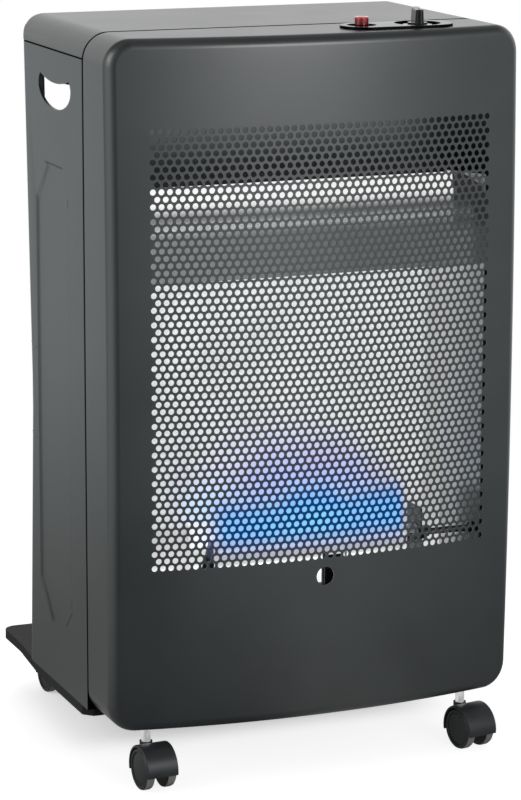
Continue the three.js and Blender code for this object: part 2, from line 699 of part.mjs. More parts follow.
function pilotBurner() {
  const base = PILOT.bottom + 1.5;
  const profile = [[0, base - 3], [2.9, base - 3], [2.9, base], [4.5, base], [4.5, 202], [5.4, 204],
    [5.4, 210], [0, 211.5]];
  return turned(profile, PILOT.flame, PILOT.y, 12);
}

function sparkElectrode() {
  const base = PILOT.bottom + 1.5;
  const profile = [[0, base - 3], [2.9, base - 3], [2.9, base], [3.6, base], [3.6, 203], [1.2, 204.5],
    [1.2, 214], [0, 214.5]];
  return turned(profile, PILOT.electrode, PILOT.y, 10);
}

function thermocouple() {
  const base = PILOT.bottom + 1.5;
  const profile = [[0, base - 3], [2.9, base - 3], [2.9, base], [2.9, 200], [1.9, 201], [1.9, 214], [0, 215]];
  return turned(profile, PILOT.thermocouple, PILOT.y, 10);
}

// ---------------------------------------------------------------- gas controls

function gasValve() {
  const { x, y } = KNOB;
  const body = [[0, VALVE_FOOT], [11, VALVE_FOOT], [14, VALVE_FOOT + 3], [14, 703], [10, 706],
    [10, 707.6], [4.5, 707.6], [4.5, 694], [0, 694]];
  const inlet = turnedAlongY([[0, 0], [7, 0], [7, 18], [0, 18]], x, y, 0, 10).translate(0, 0, GAS_LEVEL);
  const outlet = turnedAlongX([[0, 0], [6, 0], [6, 18], [0, 18]], x, y, GAS_LEVEL, 10);
  const bore = alongZ(disc(x, y, 4.5), 694, 720, 4);
  return solid(turned(body, x, y, 16)).add(solid(inlet)).add(solid(outlet)).subtract(bore);
}

// Shelf on the bulkhead that the valve hangs from.
function valveShelf() {
  const rear = BULKHEAD.y - GAP;
  const shelf = alongZ(rectangle(KNOB.x - 20, KNOB.y - 13, KNOB.x + 20, rear), 708, 709.2);
  const flange = alongZ(rectangle(KNOB.x - 20, rear - 1.2, KNOB.x + 20, rear), 698, 709.2);
  return shelf.add(flange).subtract(alongZ(disc(KNOB.x, KNOB.y, 9.8), 700, 715, 8));
}

// Ring on the valve that the flats of the spindle turn.
function valveCam() {
  const profile = [[4.5, 708], [9, 708], [9, 713], [4.5, 713], [4.5, 708]];
  return turned(profile, KNOB.x, KNOB.y, 16);
}

function valveSpindle() {
  const profile = [[0, 697.5], [SPINDLE_R, 697.5], [SPINDLE_R, 731], [3, 732], [0, 732]];
  return turned(profile, KNOB.x, KNOB.y, 12);
}

// Bar grip on a round hub, bored for the spindle.
function controlKnob() {
  const { x, y, angle, bottom, top } = KNOB;
  const bar = new THREE.Shape();
  bar.absarc(0, -14, 4.4, Math.PI, 2 * Math.PI, false);
  bar.absarc(0, 14, 4.4, 0, Math.PI, false);
  const hub = alongZ(disc(0, 0, 9.5), bottom, bottom + 5, 8);
  const grip = alongZ(bar, bottom, top, 6);
  const bore = alongZ(disc(0, 0, SPINDLE_R + 0.35), bottom - 5, top - 5, 6);
  const knob = geometryOf(hub.add(grip).subtract(bore));
  return knob.rotateZ(THREE.MathUtils.degToRad(angle)).translate(x, y, 0);
}

function stadium(left, right, y, half) {
  const shape = new THREE.Shape();
  shape.absarc(left + half, y, half, Math.PI / 2, 1.5 * Math.PI, false);
  shape.absarc(right - half, y, half, -Math.PI / 2, Math.PI / 2, false);
  return shape;
}

// Moulded plate over both controls: a deep well for the knob and a shallow one for the button.
function controlPlate() {
  const { left, right, y, half, z, sheet } = PLATE;
  let plate = alongZ(stadium(left, right, y, half), z, z + sheet, 10);
  const wells = [
    { ...KNOB, floor: 716.5, wall: 1, through: 5.5 },
    { ...BUTTON, floor: 718.5, wall: 1, through: BUTTON.r + 0.4 },
  ];
  for (const { x, y: depth, recess, floor, wall, through } of wells) {
    plate = plate.add(alongZ(disc(x, depth, recess + wall), floor, z + sheet, 10));
    plate = plate.subtract(alongZ(disc(x, depth, recess), floor + wall, z + 10, 10));
    plate = plate.subtract(alongZ(disc(x, depth, through), floor - 5, z + 10, 8));
  }
  return plate;
}

// Bright skirt under the bar grip, which turns and sinks with it.
function dialPlate() {
  const top = KNOB.bottom - GAP;
  const bore = SPINDLE_R + 0.6;
  const profile = [[bore, top - 0.9], [KNOB.skirt, top - 0.9], [KNOB.skirt, top], [bore, top], [bore, top - 0.9]];
  return turned(profile, KNOB.x, KNOB.y, 24);
}

function igniterBody() {
  const bore = BUTTON.r + 0.5;
  const profile = [[0, 662], [3, 662], [3, 669], [8, 669], [9.5, 672], [9.5, 718.2], [bore, 718.2],
    [bore, 695], [0, 695]];
  return turned(profile, BUTTON.x, BUTTON.y, 16);
}

function igniterButton() {
  const { x, y, r, top } = BUTTON;
  const profile = [[0, 703], [r, 703], [r, top - 2], [r - 0.8, top - 0.5], [r - 2.4, top], [0, top - 0.4]];
  return turned(profile, x, y, 16);
}

function hoseTail() {
  const start = PAN_DEPTH - 2;
  const barb = (at) => [[4, at], [5.4, at + 1], [4.2, at + 5]];
  const wall = BULKHEAD.y + BULKHEAD.sheet + GAP - start;
  const profile = [[0, 0], [6, 0], [6, wall], [10.5, wall], [10.5, wall + 7], [5, wall + 7],
    [4, wall + 10], ...barb(wall + 12), ...barb(wall + 19), ...barb(wall + 26), [3.6, wall + 34],
    [2, wall + 34], [2, wall + 14], [0, wall + 14]];
  return turnedAlongY(profile, KNOB.x, start, GAS_LEVEL, 12);
}

function inletPipe() {
  const start = KNOB.y + 18 + GAP;
  const length = PAN_DEPTH - 2 - GAP - start;
  return turnedAlongY([[0, 0], [4, 0], [4, length], [0, length]], KNOB.x, start, GAS_LEVEL, 10);
}

function supplyPipe() {
  const end = BURNER.right + 27.6;
  const route = [[KNOB.x + 18.3, KNOB.y, GAS_LEVEL], [196, KNOB.y, GAS_LEVEL], [196, KNOB.y, BURNER.z],
    [160, BURNER.y, BURNER.z], [end, BURNER.y, BURNER.z]];
  return routed(route, 3.5, 10);
}

function pilotPipe() {
  const route = [[KNOB.x + 6, KNOB.y, VALVE_FOOT - GAP], [KNOB.x + 6, KNOB.y, 669], [200, 62, 669], [200, 62, 167],
    [PILOT.flame, PILOT.y, 167], [PILOT.flame, PILOT.y, PILOT.bottom - 2.1]];
  return routed(route, 2, 5, 6);
}

function thermocoupleLead() {
  const route = [[KNOB.x - 3, KNOB.y, VALVE_FOOT - GAP], [KNOB.x - 3, KNOB.y, 662], [201, 70, 662], [201, 70, 160],
    [PILOT.thermocouple, PILOT.y, 160], [PILOT.thermocouple, PILOT.y, PILOT.bottom - 2.1]];
  return routed(route, 1.5, 5, 6);
}

function ignitionLead() {
  const route = [[BUTTON.x, BUTTON.y, 661.7], [BUTTON.x, BUTTON.y, 655], [201, 78, 655], [201, 78, 174],
    [PILOT.electrode, PILOT.y, 174], [PILOT.electrode, PILOT.y, PILOT.bottom - 2.1]];
  return routed(route, 2, 3, 6);
}

// ---------------------------------------------------------------- castors

// Hood over the top and front of both wheels, with the web that carries the axle and the stem's boss.
function castorHood() {
  const inner = HOOD_R - HOOD_WALL;
  const drop = -1.5;
  const shell = outline([...arcPoints(0, 0, HOOD_R, 180 + HOOD_SKIRT, 0, 12), [HOOD_R, drop],
    [inner, drop], ...arcPoints(0, 0, inner, 0, 180 + HOOD_SKIRT, 12)]);
  const web = outline([[-7, -5], [7, -5], ...arcPoints(0, 0, inner + 0.5, 5, 175, 10)]);
  const half = WHEEL_INNER - 0.5;
  let hood = alongX(shell, -WHEEL_OUTER - 0.2, WHEEL_OUTER + 0.2).add(alongX(web, -half, half));
  hood = hood.add(alongZ(disc(0, TRAIL, 6.3), 6, COLLAR_TOP - WHEEL_R, 6));
  hood = hood.subtract(alongX(disc(0, 0, 3.4), -20, 20, 6));
  return hood.subtract(alongZ(disc(0, TRAIL, STEM_R + 0.5), 8, 40, 6));
}

// Moulded wheel, dished on its outer face, with a blind bore for the axle.
function castorWheel(side) {
  const width = WHEEL_OUTER - WHEEL_INNER;
  const profile = [[3.3, 0], [WHEEL_R - 0.8, 0], [WHEEL_R, 0.8], [WHEEL_R, width - 0.8],
    [WHEEL_R - 0.8, width], [WHEEL_R - 3, width], [WHEEL_R - 3.6, width - 0.9], [0, width - 0.9],
    [0, width - 3], [3.3, width - 3], [3.3, 0]];
  const wheel = turnedAlongX(profile, WHEEL_INNER, 0, 0, 20);
  return side > 0 ? wheel : wheel.rotateZ(Math.PI);
}

function castorStem(x, y) {
  const foot = COLLAR_TOP - 9.5;
  const plate = y > BASE_FRONT ? BASE_TOP : TONGUE.z + BASE_SHEET;
  const head = plate + GAP;
  const profile = [[0, foot], [STEM_R, foot], [STEM_R, head], [7, head], [7, head + 1.2], [5, head + 2.4],
    [0, head + 2.4]];
  return turned(profile, x, y, 10);
}

function addCastor(corner, { x, y, turn }) {
  const fork = new THREE.Group();
  fork.position.set(x, y, WHEEL_R);
  fork.rotation.z = THREE.MathUtils.degToRad(turn);
  const carrier = new THREE.Group();
  carrier.position.y = -TRAIL;
  fork.add(carrier);
  add(`castor_hood_${corner}`, castorHood(), 'blackPlastic', carrier);
  add(`castor_wheel_left_${corner}`, castorWheel(-1), 'blackPlastic', carrier);
  add(`castor_wheel_right_${corner}`, castorWheel(1), 'blackPlastic', carrier);
  const reach = WHEEL_OUTER - 3.5;
  const axle = turnedAlongX([[0, -reach], [3, -reach], [3, reach], [0, reach]], 0, 0, 0, 12);
  add(`castor_axle_${corner}`, axle, 'galvanised', carrier);
  add(`castor_stem_${corner}`, castorStem(x, y), 'chrome');
  heater.add(fork);
}

// ---------------------------------------------------------------- assembly

add('front_panel', frontPanel(), 'paint');
add('guard_screen', guardScreen(), 'paint');
add('top_cover', topCover(), 'paint');
add('side_panel_left', sidePanel(-1), 'paint');
add('side_panel_right', sidePanel(1), 'paint');
add('base_plate', basePlate(), 'darkPaint');
add('bulkhead', bulkhead(), 'galvanised');
add('retaining_strip_left', retainingStrip(-1), 'darkPaint');
add('retaining_strip_right', retainingStrip(1), 'darkPaint');

add('reflector_back', backReflector(), 'aluminised');
add('reflector_left', sideReflector(-1), 'aluminised');
add('reflector_right', sideReflector(1), 'aluminised');
add('deflector', deflector(), 'aluminised');
add('shroud', shroud(), 'darkPaint');
add('firebox_floor', fireboxFloor(), 'aluminised');

add('burner_tube', burnerTube(), 'aluminised');
add('burner_stand', burnerStand(), 'darkPaint');
add('mixer_tube', mixerTube(), 'galvanised');
add('injector', injector(), 'brass');
add('injector_bracket', injectorBracket(), 'darkPaint');
add('pilot_bracket', pilotBracket(), 'chrome');
add('pilot_burner', pilotBurner(), 'chrome');
add('spark_electrode', sparkElectrode(), 'ceramic');
add('thermocouple', thermocouple(), 'copper');

add('valve_shelf', valveShelf(), 'galvanised');
add('gas_valve', gasValve(), 'brass');
add('valve_cam', valveCam(), 'galvanised');
add('valve_spindle', valveSpindle(), 'brass');
add('control_plate', controlPlate(), 'blackPlastic');
add('dial_plate', dialPlate(), 'aluminised');
add('control_knob', controlKnob(), 'blackPlastic');
add('igniter_body', igniterBody(), 'blackPlastic');
add('igniter_button', igniterButton(), 'redPlastic');
add('inlet_pipe', inletPipe(), 'copper');
add('hose_tail', hoseTail(), 'brass');
add('supply_pipe', supplyPipe(), 'copper');
add('pilot_pipe', pilotPipe(), 'copper');
add('thermocouple_lead', thermocoupleLead(), 'copper');
add('ignition_lead', ignitionLead(), 'silicone');

for (const [corner, place] of Object.entries(CASTORS)) addCastor(corner, place);

heater.position.y = -DEPTH / 2;
heater.updateMatrixWorld(true);

export default heater;
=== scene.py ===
import json
from math import asin, cos, pi, radians, sin, sqrt

import bmesh
import bpy
from mathutils import Matrix, Vector

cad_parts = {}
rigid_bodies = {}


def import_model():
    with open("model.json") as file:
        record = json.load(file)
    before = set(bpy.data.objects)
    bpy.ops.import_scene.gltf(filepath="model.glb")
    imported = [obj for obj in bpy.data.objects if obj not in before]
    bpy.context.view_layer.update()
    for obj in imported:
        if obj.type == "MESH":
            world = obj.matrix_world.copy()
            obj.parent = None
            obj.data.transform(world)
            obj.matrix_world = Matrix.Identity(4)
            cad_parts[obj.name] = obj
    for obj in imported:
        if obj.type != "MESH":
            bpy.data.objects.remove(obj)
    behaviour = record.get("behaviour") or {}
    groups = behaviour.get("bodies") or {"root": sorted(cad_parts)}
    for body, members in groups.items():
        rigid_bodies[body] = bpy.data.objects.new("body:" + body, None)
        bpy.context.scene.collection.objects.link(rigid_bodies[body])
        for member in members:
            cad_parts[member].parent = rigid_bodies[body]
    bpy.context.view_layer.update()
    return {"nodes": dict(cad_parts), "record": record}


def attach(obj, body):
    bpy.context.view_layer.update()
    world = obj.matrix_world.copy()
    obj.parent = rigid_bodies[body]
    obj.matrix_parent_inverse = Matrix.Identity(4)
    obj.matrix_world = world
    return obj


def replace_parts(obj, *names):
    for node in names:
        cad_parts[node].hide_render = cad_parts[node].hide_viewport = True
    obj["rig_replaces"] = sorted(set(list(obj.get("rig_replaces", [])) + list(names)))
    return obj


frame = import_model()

# The part's own measures, in metres. Depths are counted from the foremost point of the front,
# as in the part's source, and shift(y) turns them into the row frame.
MM = 0.001
HALF_DEPTH = 0.1985
HALF_WIDTH = 0.210
SHEET = 0.001

PAN_BOTTOM, PAN_TOP = 0.0585, 0.721
PAN_MIDDLE = (PAN_BOTTOM + PAN_TOP) / 2
PAN_REAR = 0.0948
PAN_CORNER = 0.026
PAN_FILLET = 0.010
PAN_RIM = 0.0022
PAN_FLANGE = 0.009
BOW_RADIUS = 0.917
DOME = 0.0055
HOLE_PITCH = 0.00797
HOLE_ROW = 0.0069
HOLE_RADIUS = 0.00292
HOLE_ROWS = 61
HOLE_FIRST_ROW = 0.2215
HOLE_SHIFT = 0.0016
SIGHT_HOLE_Z, SIGHT_HOLE_R = 0.2015, 0.0090

COVER_EDGE = 0.6973
COVER_REAR = 0.2893
COVER_RIM = 0.0015
SIDE_FRONT, SIDE_REAR = 0.096, 0.2885
SIDE_LOW, SIDE_HIGH = 0.0627, 0.6961
SIDE_WAIST = 0.345
WAIST_DEPTH = 0.016
REAR_BEND = 0.018
REAR_FLANGE = 0.007
FRONT_FLANGE = 0.018
SIDE_RETURN = 0.014
RETURN_FRONT = 0.0988
SIDE_RIM, PRESS_ROUND = 0.0016, 0.0004
DIMPLES = (0.2430, 0.395), (0.2465, 0.302)
DIMPLE_R, DIMPLE_RISE = 0.004, 0.0036
HANDLE_Y, HANDLE_Z = 0.1795, 0.661
HANDLE_HALF, HANDLE_DROP = 0.0483, 0.0212
HANDLE_HORN = radians(28)
HANDLE_SAG = 0.0062
HANDLE_COLLAR = 0.003
HANDLE_ROUND = 0.0018
FIELD_FRONT, FIELD_REAR, FIELD_LOW, FIELD_HIGH = 0.141, 0.240, 0.122, 0.586
FIELD_CHAMFER, FIELD_SLOPE, FIELD_DEPTH = 0.026, 0.0045, 0.0015
SEAM_Y = 0.0954
HOOD_BEND = 0.549, 0.564
HOOD_SLANT = 0.403
BULKHEAD_FACE = -0.1006

KNOB_X, BUTTON_X, CONTROL_Y = 0.1113, 0.0533, 0.050
KNOB_TURN = radians(-17)
KNOB_RECESS, BUTTON_RECESS = 0.0222, 0.014
KNOB_WELL, BUTTON_WELL = 0.7165, 0.7185
KNOB_BORE, BUTTON_BORE = 0.0055, 0.00715
KNOB_FOOT, KNOB_TOP = 0.7224, 0.7375
PLATE_LEFT, PLATE_RIGHT, PLATE_HALF = 0.033, 0.146, 0.0245
PLATE_LOW, PLATE_HIGH = 0.7213, 0.7236

CASTORS = {
    "front_left": (-0.1675, 0.0475, 4),
    "front_right": (0.1675, 0.0475, 10),
    "rear_left": (-0.157, 0.372, 4),
    "rear_right": (0.157, 0.372, 4),
}
WHEEL_R = 0.0203
WHEEL_INNER, WHEEL_OUTER = 0.0068, 0.0158
HOOD_R, HOOD_WALL = 0.0237, 0.0023
TRAIL = 0.018
STEM_R = 0.0045
PLAY = 0.0005
COLLAR_R, COLLAR_TOP = 0.0063, 0.042
PAN_FLOOR, TRAY_FLOOR = 0.0613, 0.0624

FLAME_LEFT, FLAME_RIGHT = -0.114, 0.103
FLAME_FOOT, FLAME_CROWN = 0.220, 0.268
FLAME_MIDDLE, FLAME_HEIGHT = 0.2825, 0.135
FLAME_DEPTHS = 0.0375, 0.054

DARK = (0.0, 0.0, 0.0)
# Near black, for the dull hood over the firebox and for the painted shade on the bulkhead's face towards the
# burner.
NEAR_BLACK = (0.010, 0.010, 0.011)


def shift(y):
    return y - HALF_DEPTH


# ------------------------------------------------------------------ shader maths


class Value:
    """One output of a node, with arithmetic that adds Math nodes."""

    def __init__(self, tree, socket):
        self.tree = tree
        self.socket = socket

    def calc(self, operation, *others):
        inputs = {i: v for i, v in enumerate((self, *others))}
        return self.tree.node("ShaderNodeMath", {"operation": operation}, inputs)

    def flipped(self, operation, other):
        return self.tree.node("ShaderNodeMath", {"operation": operation}, {0: other, 1: self})

    def __add__(self, other):
        return self.calc("ADD", other)

    def __sub__(self, other):
        return self.calc("SUBTRACT", other)

    def __mul__(self, other):
        return self.calc("MULTIPLY", other)

    def __truediv__(self, other):
        return self.calc("DIVIDE", other)

    def __radd__(self, other):
        return self.flipped("ADD", other)

    def __rsub__(self, other):
        return self.flipped("SUBTRACT", other)

    def __rmul__(self, other):
        return self.flipped("MULTIPLY", other)

    def __rtruediv__(self, other):
        return self.flipped("DIVIDE", other)

    def __neg__(self):
        return self.flipped("MULTIPLY", -1.0)

    def most(self, other):
        return self.calc("MAXIMUM", other)

    def size(self):
        return self.calc("ABSOLUTE")

    def ramp(self, low, high, at_low=0.0, at_high=1.0):
        """Smoothly from at_low where the value is low to at_high where it is high."""
        return self.tree.node(
            "ShaderNodeMapRange",
            {"interpolation_type": "SMOOTHSTEP", "clamp": True},
            {"Value": self, "From Min": low, "From Max": high, "To Min": at_low, "To Max": at_high},
        )

    def fall(self, low, high):
        """Smoothly from 1 to 0."""
        return self.ramp(low, high, 1.0, 0.0)


class Tree:
    """A node tree that is filled one node at a time."""

    def __init__(self, owner):
        owner.use_nodes = True
        self.tree = owner.node_tree
        self.tree.nodes.clear()

    def node(self, kind, settings=None, inputs=None, output=0):
        made = self.tree.nodes.new(kind)
        for key, setting in (settings or {}).items():
            if key == "stops":
                self.fill_ramp(made.color_ramp, setting)
            else:
                setattr(made, key, setting)
        for key, given in (inputs or {}).items():
            if isinstance(given, Value):
                self.tree.links.new(given.socket, made.inputs[key])
            else:
                made.inputs[key].default_value = given
        return Value(self, made.outputs[output]) if made.outputs else made

    def fill_ramp(self, ramp, stops):
        while len(ramp.elements) < len(stops):
            ramp.elements.new(1.0)
        for element, (place, grey) in zip(ramp.elements, stops):
            element.position = place
            element.color = (grey, grey, grey, 1.0)

    def place(self):
        """Object coordinates as one vector and as three separate values, in metres."""
        vector = self.node("ShaderNodeTexCoord", output="Object")
        return vector, *self.axes(vector)

    def axes(self, vector):
        return [self.node("ShaderNodeSeparateXYZ", inputs={0: vector}, output=i) for i in range(3)]

    def noise(self, vector, scale, detail=3.0, roughness=0.5, stretch=None):
        if stretch:
            vector = self.node("ShaderNodeMapping", inputs={"Vector": vector, "Scale": stretch})
        return self.node(
            "ShaderNodeTexNoise",
            inputs={"Vector": vector, "Scale": scale, "Detail": detail, "Roughness": roughness},
        )

    def blend(self, amount, first, second, blend_type="MIX"):
        """A mix of two colours."""
        return self.node(
            "ShaderNodeMix",
            {"data_type": "RGBA", "blend_type": blend_type},
            {"Factor": amount, 6: self.colour(first), 7: self.colour(second)},
            output=2,
        )

    def colour(self, given):
        return given if isinstance(given, Value) else (*given, 1.0)

    def bump(self, height, depth, strength=1.0):
        return self.node(
            "ShaderNodeBump", inputs={"Height": height, "Distance": depth, "Strength": strength}
        )

    def shader(self, **sockets):
        names = {
            "colour": "Base Color", "roughness": "Roughness", "metallic": "Metallic",
            "normal": "Normal", "glow": "Emission Color", "alpha": "Alpha", "coat": "Coat Weight",
            "coat_roughness": "Coat Roughness", "specular": "Specular IOR Level",
        }
        inputs = {"Emission Strength": 1.0} if "glow" in sockets else {}
        for key, given in sockets.items():
            is_colour = key in ("colour", "glow") and not isinstance(given, Value)
            inputs[names[key]] = (*given, 1.0) if is_colour else given
        return self.node("ShaderNodeBsdfPrincipled", inputs=inputs)

    def surface(self, **sockets):
        self.node("ShaderNodeOutputMaterial", inputs={"Surface": self.shader(**sockets)})

    def covered(self, amount, light, **sockets):
        """The surface, hidden by a dull black with its own glow where the amount is 1."""
        below = self.shader(**sockets)
        above = self.shader(colour=DARK, roughness=1.0, specular=0.0, glow=light)
        mixed = self.node("ShaderNodeMixShader", inputs={0: amount, 1: below, 2: above})
        self.node("ShaderNodeOutputMaterial", inputs={"Surface": mixed})


def finish(name, build):
    """A new material, filled by build(tree, vector, x, y, z) from its place on the object in metres."""
    material = bpy.data.materials.new(name)
    tree = Tree(material)
    build(tree, *tree.place())
    return material


# ------------------------------------------------------------------ finishes


def powder_coat(colour, roughness=0.30, specular=1.0, cover=None):
    """Satin powder coat: a fine pebbled skin with slow changes in gloss. cover(tree, x, y, z) gives
    how much of it lies under painted shade in a seam or along a pressed edge, or under the flame's painted
    light, and the colour that shows there."""

    def build(tree, vector, x, y, z):
        pebbles = tree.noise(vector, 1500.0, 2.0, 0.45)
        waves = tree.noise(vector, 11.0, 2.0)
        dust = tree.noise(vector, 240.0, 4.0, 0.7)
        shade = tree.blend(waves.ramp(0.35, 0.65), [c * 0.92 for c in colour], [c * 1.08 for c in colour])
        shade = tree.blend(dust.ramp(0.62, 0.8) * 0.2, shade, [c * 1.5 for c in colour])
        sockets = {
            "colour": shade,
            "roughness": roughness - 0.05 + waves * 0.06 + dust * 0.06,
            "specular": specular,
            "normal": tree.bump(pebbles, 0.00003, 0.25),
        }
        if cover:
            tree.covered(*cover(tree, x, y, z), **sockets)
        else:
            tree.surface(**sockets)

    return build


def flame_shape(tree, x, z):
    """How much of the flame's blue core and of its violet veil stands at a place."""
    left = (x - FLAME_LEFT).ramp(0.0, 0.034)
    right = (FLAME_RIGHT - x).ramp(0.0, 0.009)
    middle = (x - 0.003).size().fall(0.010, 0.042)
    flank = (x - 0.075).size().fall(0.0, 0.045)
    crown = FLAME_CROWN + middle * 0.014 + flank * 0.005
    core = (crown - z).ramp(-0.022, 0.018) * (z - FLAME_FOOT).ramp(-0.012, 0.020) * left * right
    wide = x.size().fall(0.03, 0.115)
    veil_left = (x - FLAME_LEFT + 0.012).ramp(0.0, 0.05)
    veil_right = (FLAME_RIGHT + 0.003 - x).ramp(0.0, 0.02)
    veil = (0.300 + wide * 0.052 - z).ramp(0.0, 0.075) * (z - FLAME_FOOT).ramp(-0.004, 0.02)
    return core, veil * veil_left * veil_right


def front_seam(y, z):
    """Shade in the joint between the front and the parts behind it, wider over the top."""
    reach = (y - shift(SEAM_Y)).size()
    over_top = reach.fall(0.0028, 0.0040) * z.ramp(0.716, 0.7205)
    return reach.fall(0.0013, 0.0019).most(over_top)


def front_cover(tree, x, y, z):
    """Blue light of the flame round the holes in front of it, and the shade of the rear joint."""
    core, veil = flame_shape(tree, x + 0.016, z - 0.011)
    tint = tree.blend(core, (0.017, 0.028, 0.095), (0.0012, 0.046, 0.180))
    seam = front_seam(y, z)
    glow = tree.blend(seam, tint, DARK)
    return seam.most((core * 0.95).most(veil * 0.60) * y.fall(-0.190, -0.175)), glow


def lid_cover(tree, x, y, z):
    """Shade in the joint to the front, and in the one over the side walls."""
    low = z.fall(COVER_EDGE - 0.0001, COVER_EDGE + 0.0003)
    return front_seam(y, z).most(low) * 0.94, DARK


def wall_cover(tree, x, y, z):
    """Shade in both joints, and painted shade in thin lines along three edges of the pressed field."""
    high = z.ramp(SIDE_HIGH - 0.0005, SIDE_HIGH - 0.0001)
    low_end, high_end = FIELD_LOW + FIELD_CHAMFER, FIELD_HIGH - FIELD_CHAMFER
    upright = z.ramp(low_end + 0.002, low_end + 0.008) * z.fall(high_end - 0.004, high_end)
    front = (y - shift(FIELD_FRONT + 0.0008)).size().fall(0.0007, 0.0014) * upright
    slanted = (y - shift(FIELD_FRONT + 0.009)).size().fall(0.008, 0.011)
    corner = (y - shift(FIELD_FRONT) + z - low_end).size().fall(0.0009, 0.0018) * slanted
    level = (y - shift(0.184)).size().fall(0.022, 0.030)
    edge = (z - FIELD_HIGH + 0.0006).size().fall(0.0006, 0.0012) * level
    # Painted shade along the field's front edge, its lower front corner and its top edge, at a little under
    # half strength.
    lines = front.most(corner).most(edge)
    return (front_seam(y, z).most(high) * 0.94).most(lines * 0.45), DARK


def bright_sheet(colour, roughness=0.24, glow=None, stretch=(1, 1, 0.04), blackness=None):
    """Rolled aluminised sheet with fine lines along the roll and faint heat marks; glow(x, y, z) says how
    much of the burner's light it throws back, and the last argument, also a function of the place, how black
    it is: painted shade on the hood beyond its lit end, a darker foot on the left reflector, a black front
    edge on the right one."""

    def build(tree, vector, x, y, z):
        lines = tree.noise(vector, 900.0, 3.0, 0.6, stretch)
        cloud = tree.noise(vector, 16.0, 3.0, 0.6)
        marks = tree.noise(vector, 70.0, 4.0, 0.7)
        shade = tree.blend(cloud.ramp(0.3, 0.75), [c * 0.86 for c in colour], colour)
        shade = tree.blend(marks.ramp(0.66, 0.82) * 0.35, shade, (0.42, 0.36, 0.28))
        sockets = {
            "colour": shade,
            "roughness": roughness + lines * 0.10 + cloud * 0.05,
            "metallic": 0.9,
            "normal": tree.bump(lines, 0.00003, 0.3),
        }
        if glow:
            amount = glow(x, y, z) * (0.86 + cloud * 0.22 + lines * 0.06)
            sockets["glow"] = tree.blend(amount, DARK, (1.0, 1.0, 1.0))
        # A near-black cover: painted shade on the hood beyond its lit end, a darker foot and a black edge on
        # the side reflectors.
        if blackness:
            tree.covered(blackness(x, y, z), (0.004, 0.004, 0.004), **sockets)
        else:
            tree.surface(**sockets)

    return build


def plain_metal(colour, roughness, glow=0.0):
    """Turned or drawn metal with a fine grain, lit a little by what it stands in."""

    def build(tree, vector, x, y, z):
        grain = tree.noise(vector, 400.0, 4.0, 0.6)
        cloud = tree.noise(vector, 30.0, 2.0)
        shade = tree.blend(cloud.ramp(0.3, 0.7), [c * 0.82 for c in colour], colour)
        tree.surface(
            colour=shade,
            roughness=roughness - 0.06 + grain * 0.14,
            metallic=1.0,
            normal=tree.bump(grain, 0.00003, 0.3),
            glow=(glow, glow, glow),
        )

    return build


def dim_hood(x, z):
    """Faint light that still reaches the hood's inside, more towards the top and the left."""
    return z.ramp(0.584, 0.640) * x.ramp(0.10, 0.165, 1.0, 0.12)


def zinc_coat(shaded_front=False):
    """Zinc on steel, with the pale and dark flakes of its crystals; if asked, its face towards the burner
    takes a painted shade of near black, lit a little by the faint painted light inside the hood."""

    def build(tree, vector, x, y, z):
        flakes = tree.node(
            "ShaderNodeTexVoronoi", {"feature": "F1"}, {"Vector": vector, "Scale": 150.0}, output="Color"
        )
        tone = tree.node("ShaderNodeSeparateXYZ", inputs={0: flakes})
        shade = tree.blend(tone, (0.30, 0.31, 0.32), (0.42, 0.43, 0.44))
        roughness = 0.36 + tone * 0.14
        metallic = 0.85
        sockets = {}
        if shaded_front:
            # Painted shade: the face towards the burner turns near black, rougher and not metallic, with a
            # faint painted light towards the top.
            blackness = y.fall(BULKHEAD_FACE - 0.0001, BULKHEAD_FACE + 0.0001)
            shade = tree.blend(blackness, shade, NEAR_BLACK)
            roughness = roughness + blackness * 0.3
            metallic = 0.85 - blackness * 0.85
            sockets["glow"] = tree.blend(dim_hood(x, z) * blackness, DARK, (0.094, 0.102, 0.106))
        tree.surface(colour=shade, roughness=roughness, metallic=metallic, **sockets)

    return build


def moulding(colour, roughness=0.34, grain=0.00002, coat=0.0, side_z=None, specular=0.5):
    """Moulded plastic with a fine spark-eroded skin, dull below the height side_z if that is given."""

    def build(tree, vector, x, y, z):
        skin = tree.noise(vector, 2600.0, 2.0, 0.5)
        cloud = tree.noise(vector, 45.0, 3.0)
        shade = tree.blend(cloud.ramp(0.35, 0.7), [c * 0.85 for c in colour], [c * 1.15 for c in colour])
        sockets = {
            "colour": shade,
            "roughness": roughness - 0.04 + cloud * 0.1,
            "specular": specular,
            "coat": coat,
            "coat_roughness": 0.08,
            "normal": tree.bump(skin, grain, 0.4),
        }
        if side_z:
            tree.covered(z.ramp(side_z - 0.0005, side_z - 0.0002, 0.93, 0.0), DARK, **sockets)
        else:
            tree.surface(**sockets)

    return build


def red_lens(tree, vector, x, y, z):
    """Clear red plastic, darker towards its foot, with a painted highlight round the top of the cap."""
    depth = z.ramp(0.7235, 0.7312)
    shade = tree.blend(depth, (0.10, 0.001, 0.002), (0.46, 0.008, 0.012))
    # Painted highlight: the top of the cap turns pale pink.
    shade = tree.blend(z.ramp(0.7300, 0.7314) * 0.5, shade, (0.85, 0.32, 0.28))
    tree.surface(colour=shade, roughness=0.12, coat=1.0, coat_roughness=0.04, specular=0.4)


def glazed(tree, vector, x, y, z):
    """White glaze with a few darker specks."""
    specks = tree.noise(vector, 800.0, 3.0)
    shade = tree.blend(specks.ramp(0.55, 0.7) * 0.3, (0.83, 0.80, 0.74), (0.6, 0.56, 0.5))
    tree.surface(colour=shade, roughness=0.25, coat=0.4)


def sleeve(tree, vector, x, y, z):
    """Red silicone over a woven core."""
    weave = tree.noise(vector, 1800.0, 2.0)
    shade = tree.blend(weave, (0.42, 0.05, 0.04), (0.55, 0.09, 0.07))
    tree.surface(colour=shade, roughness=0.6, normal=tree.bump(weave, 0.0001, 0.5))


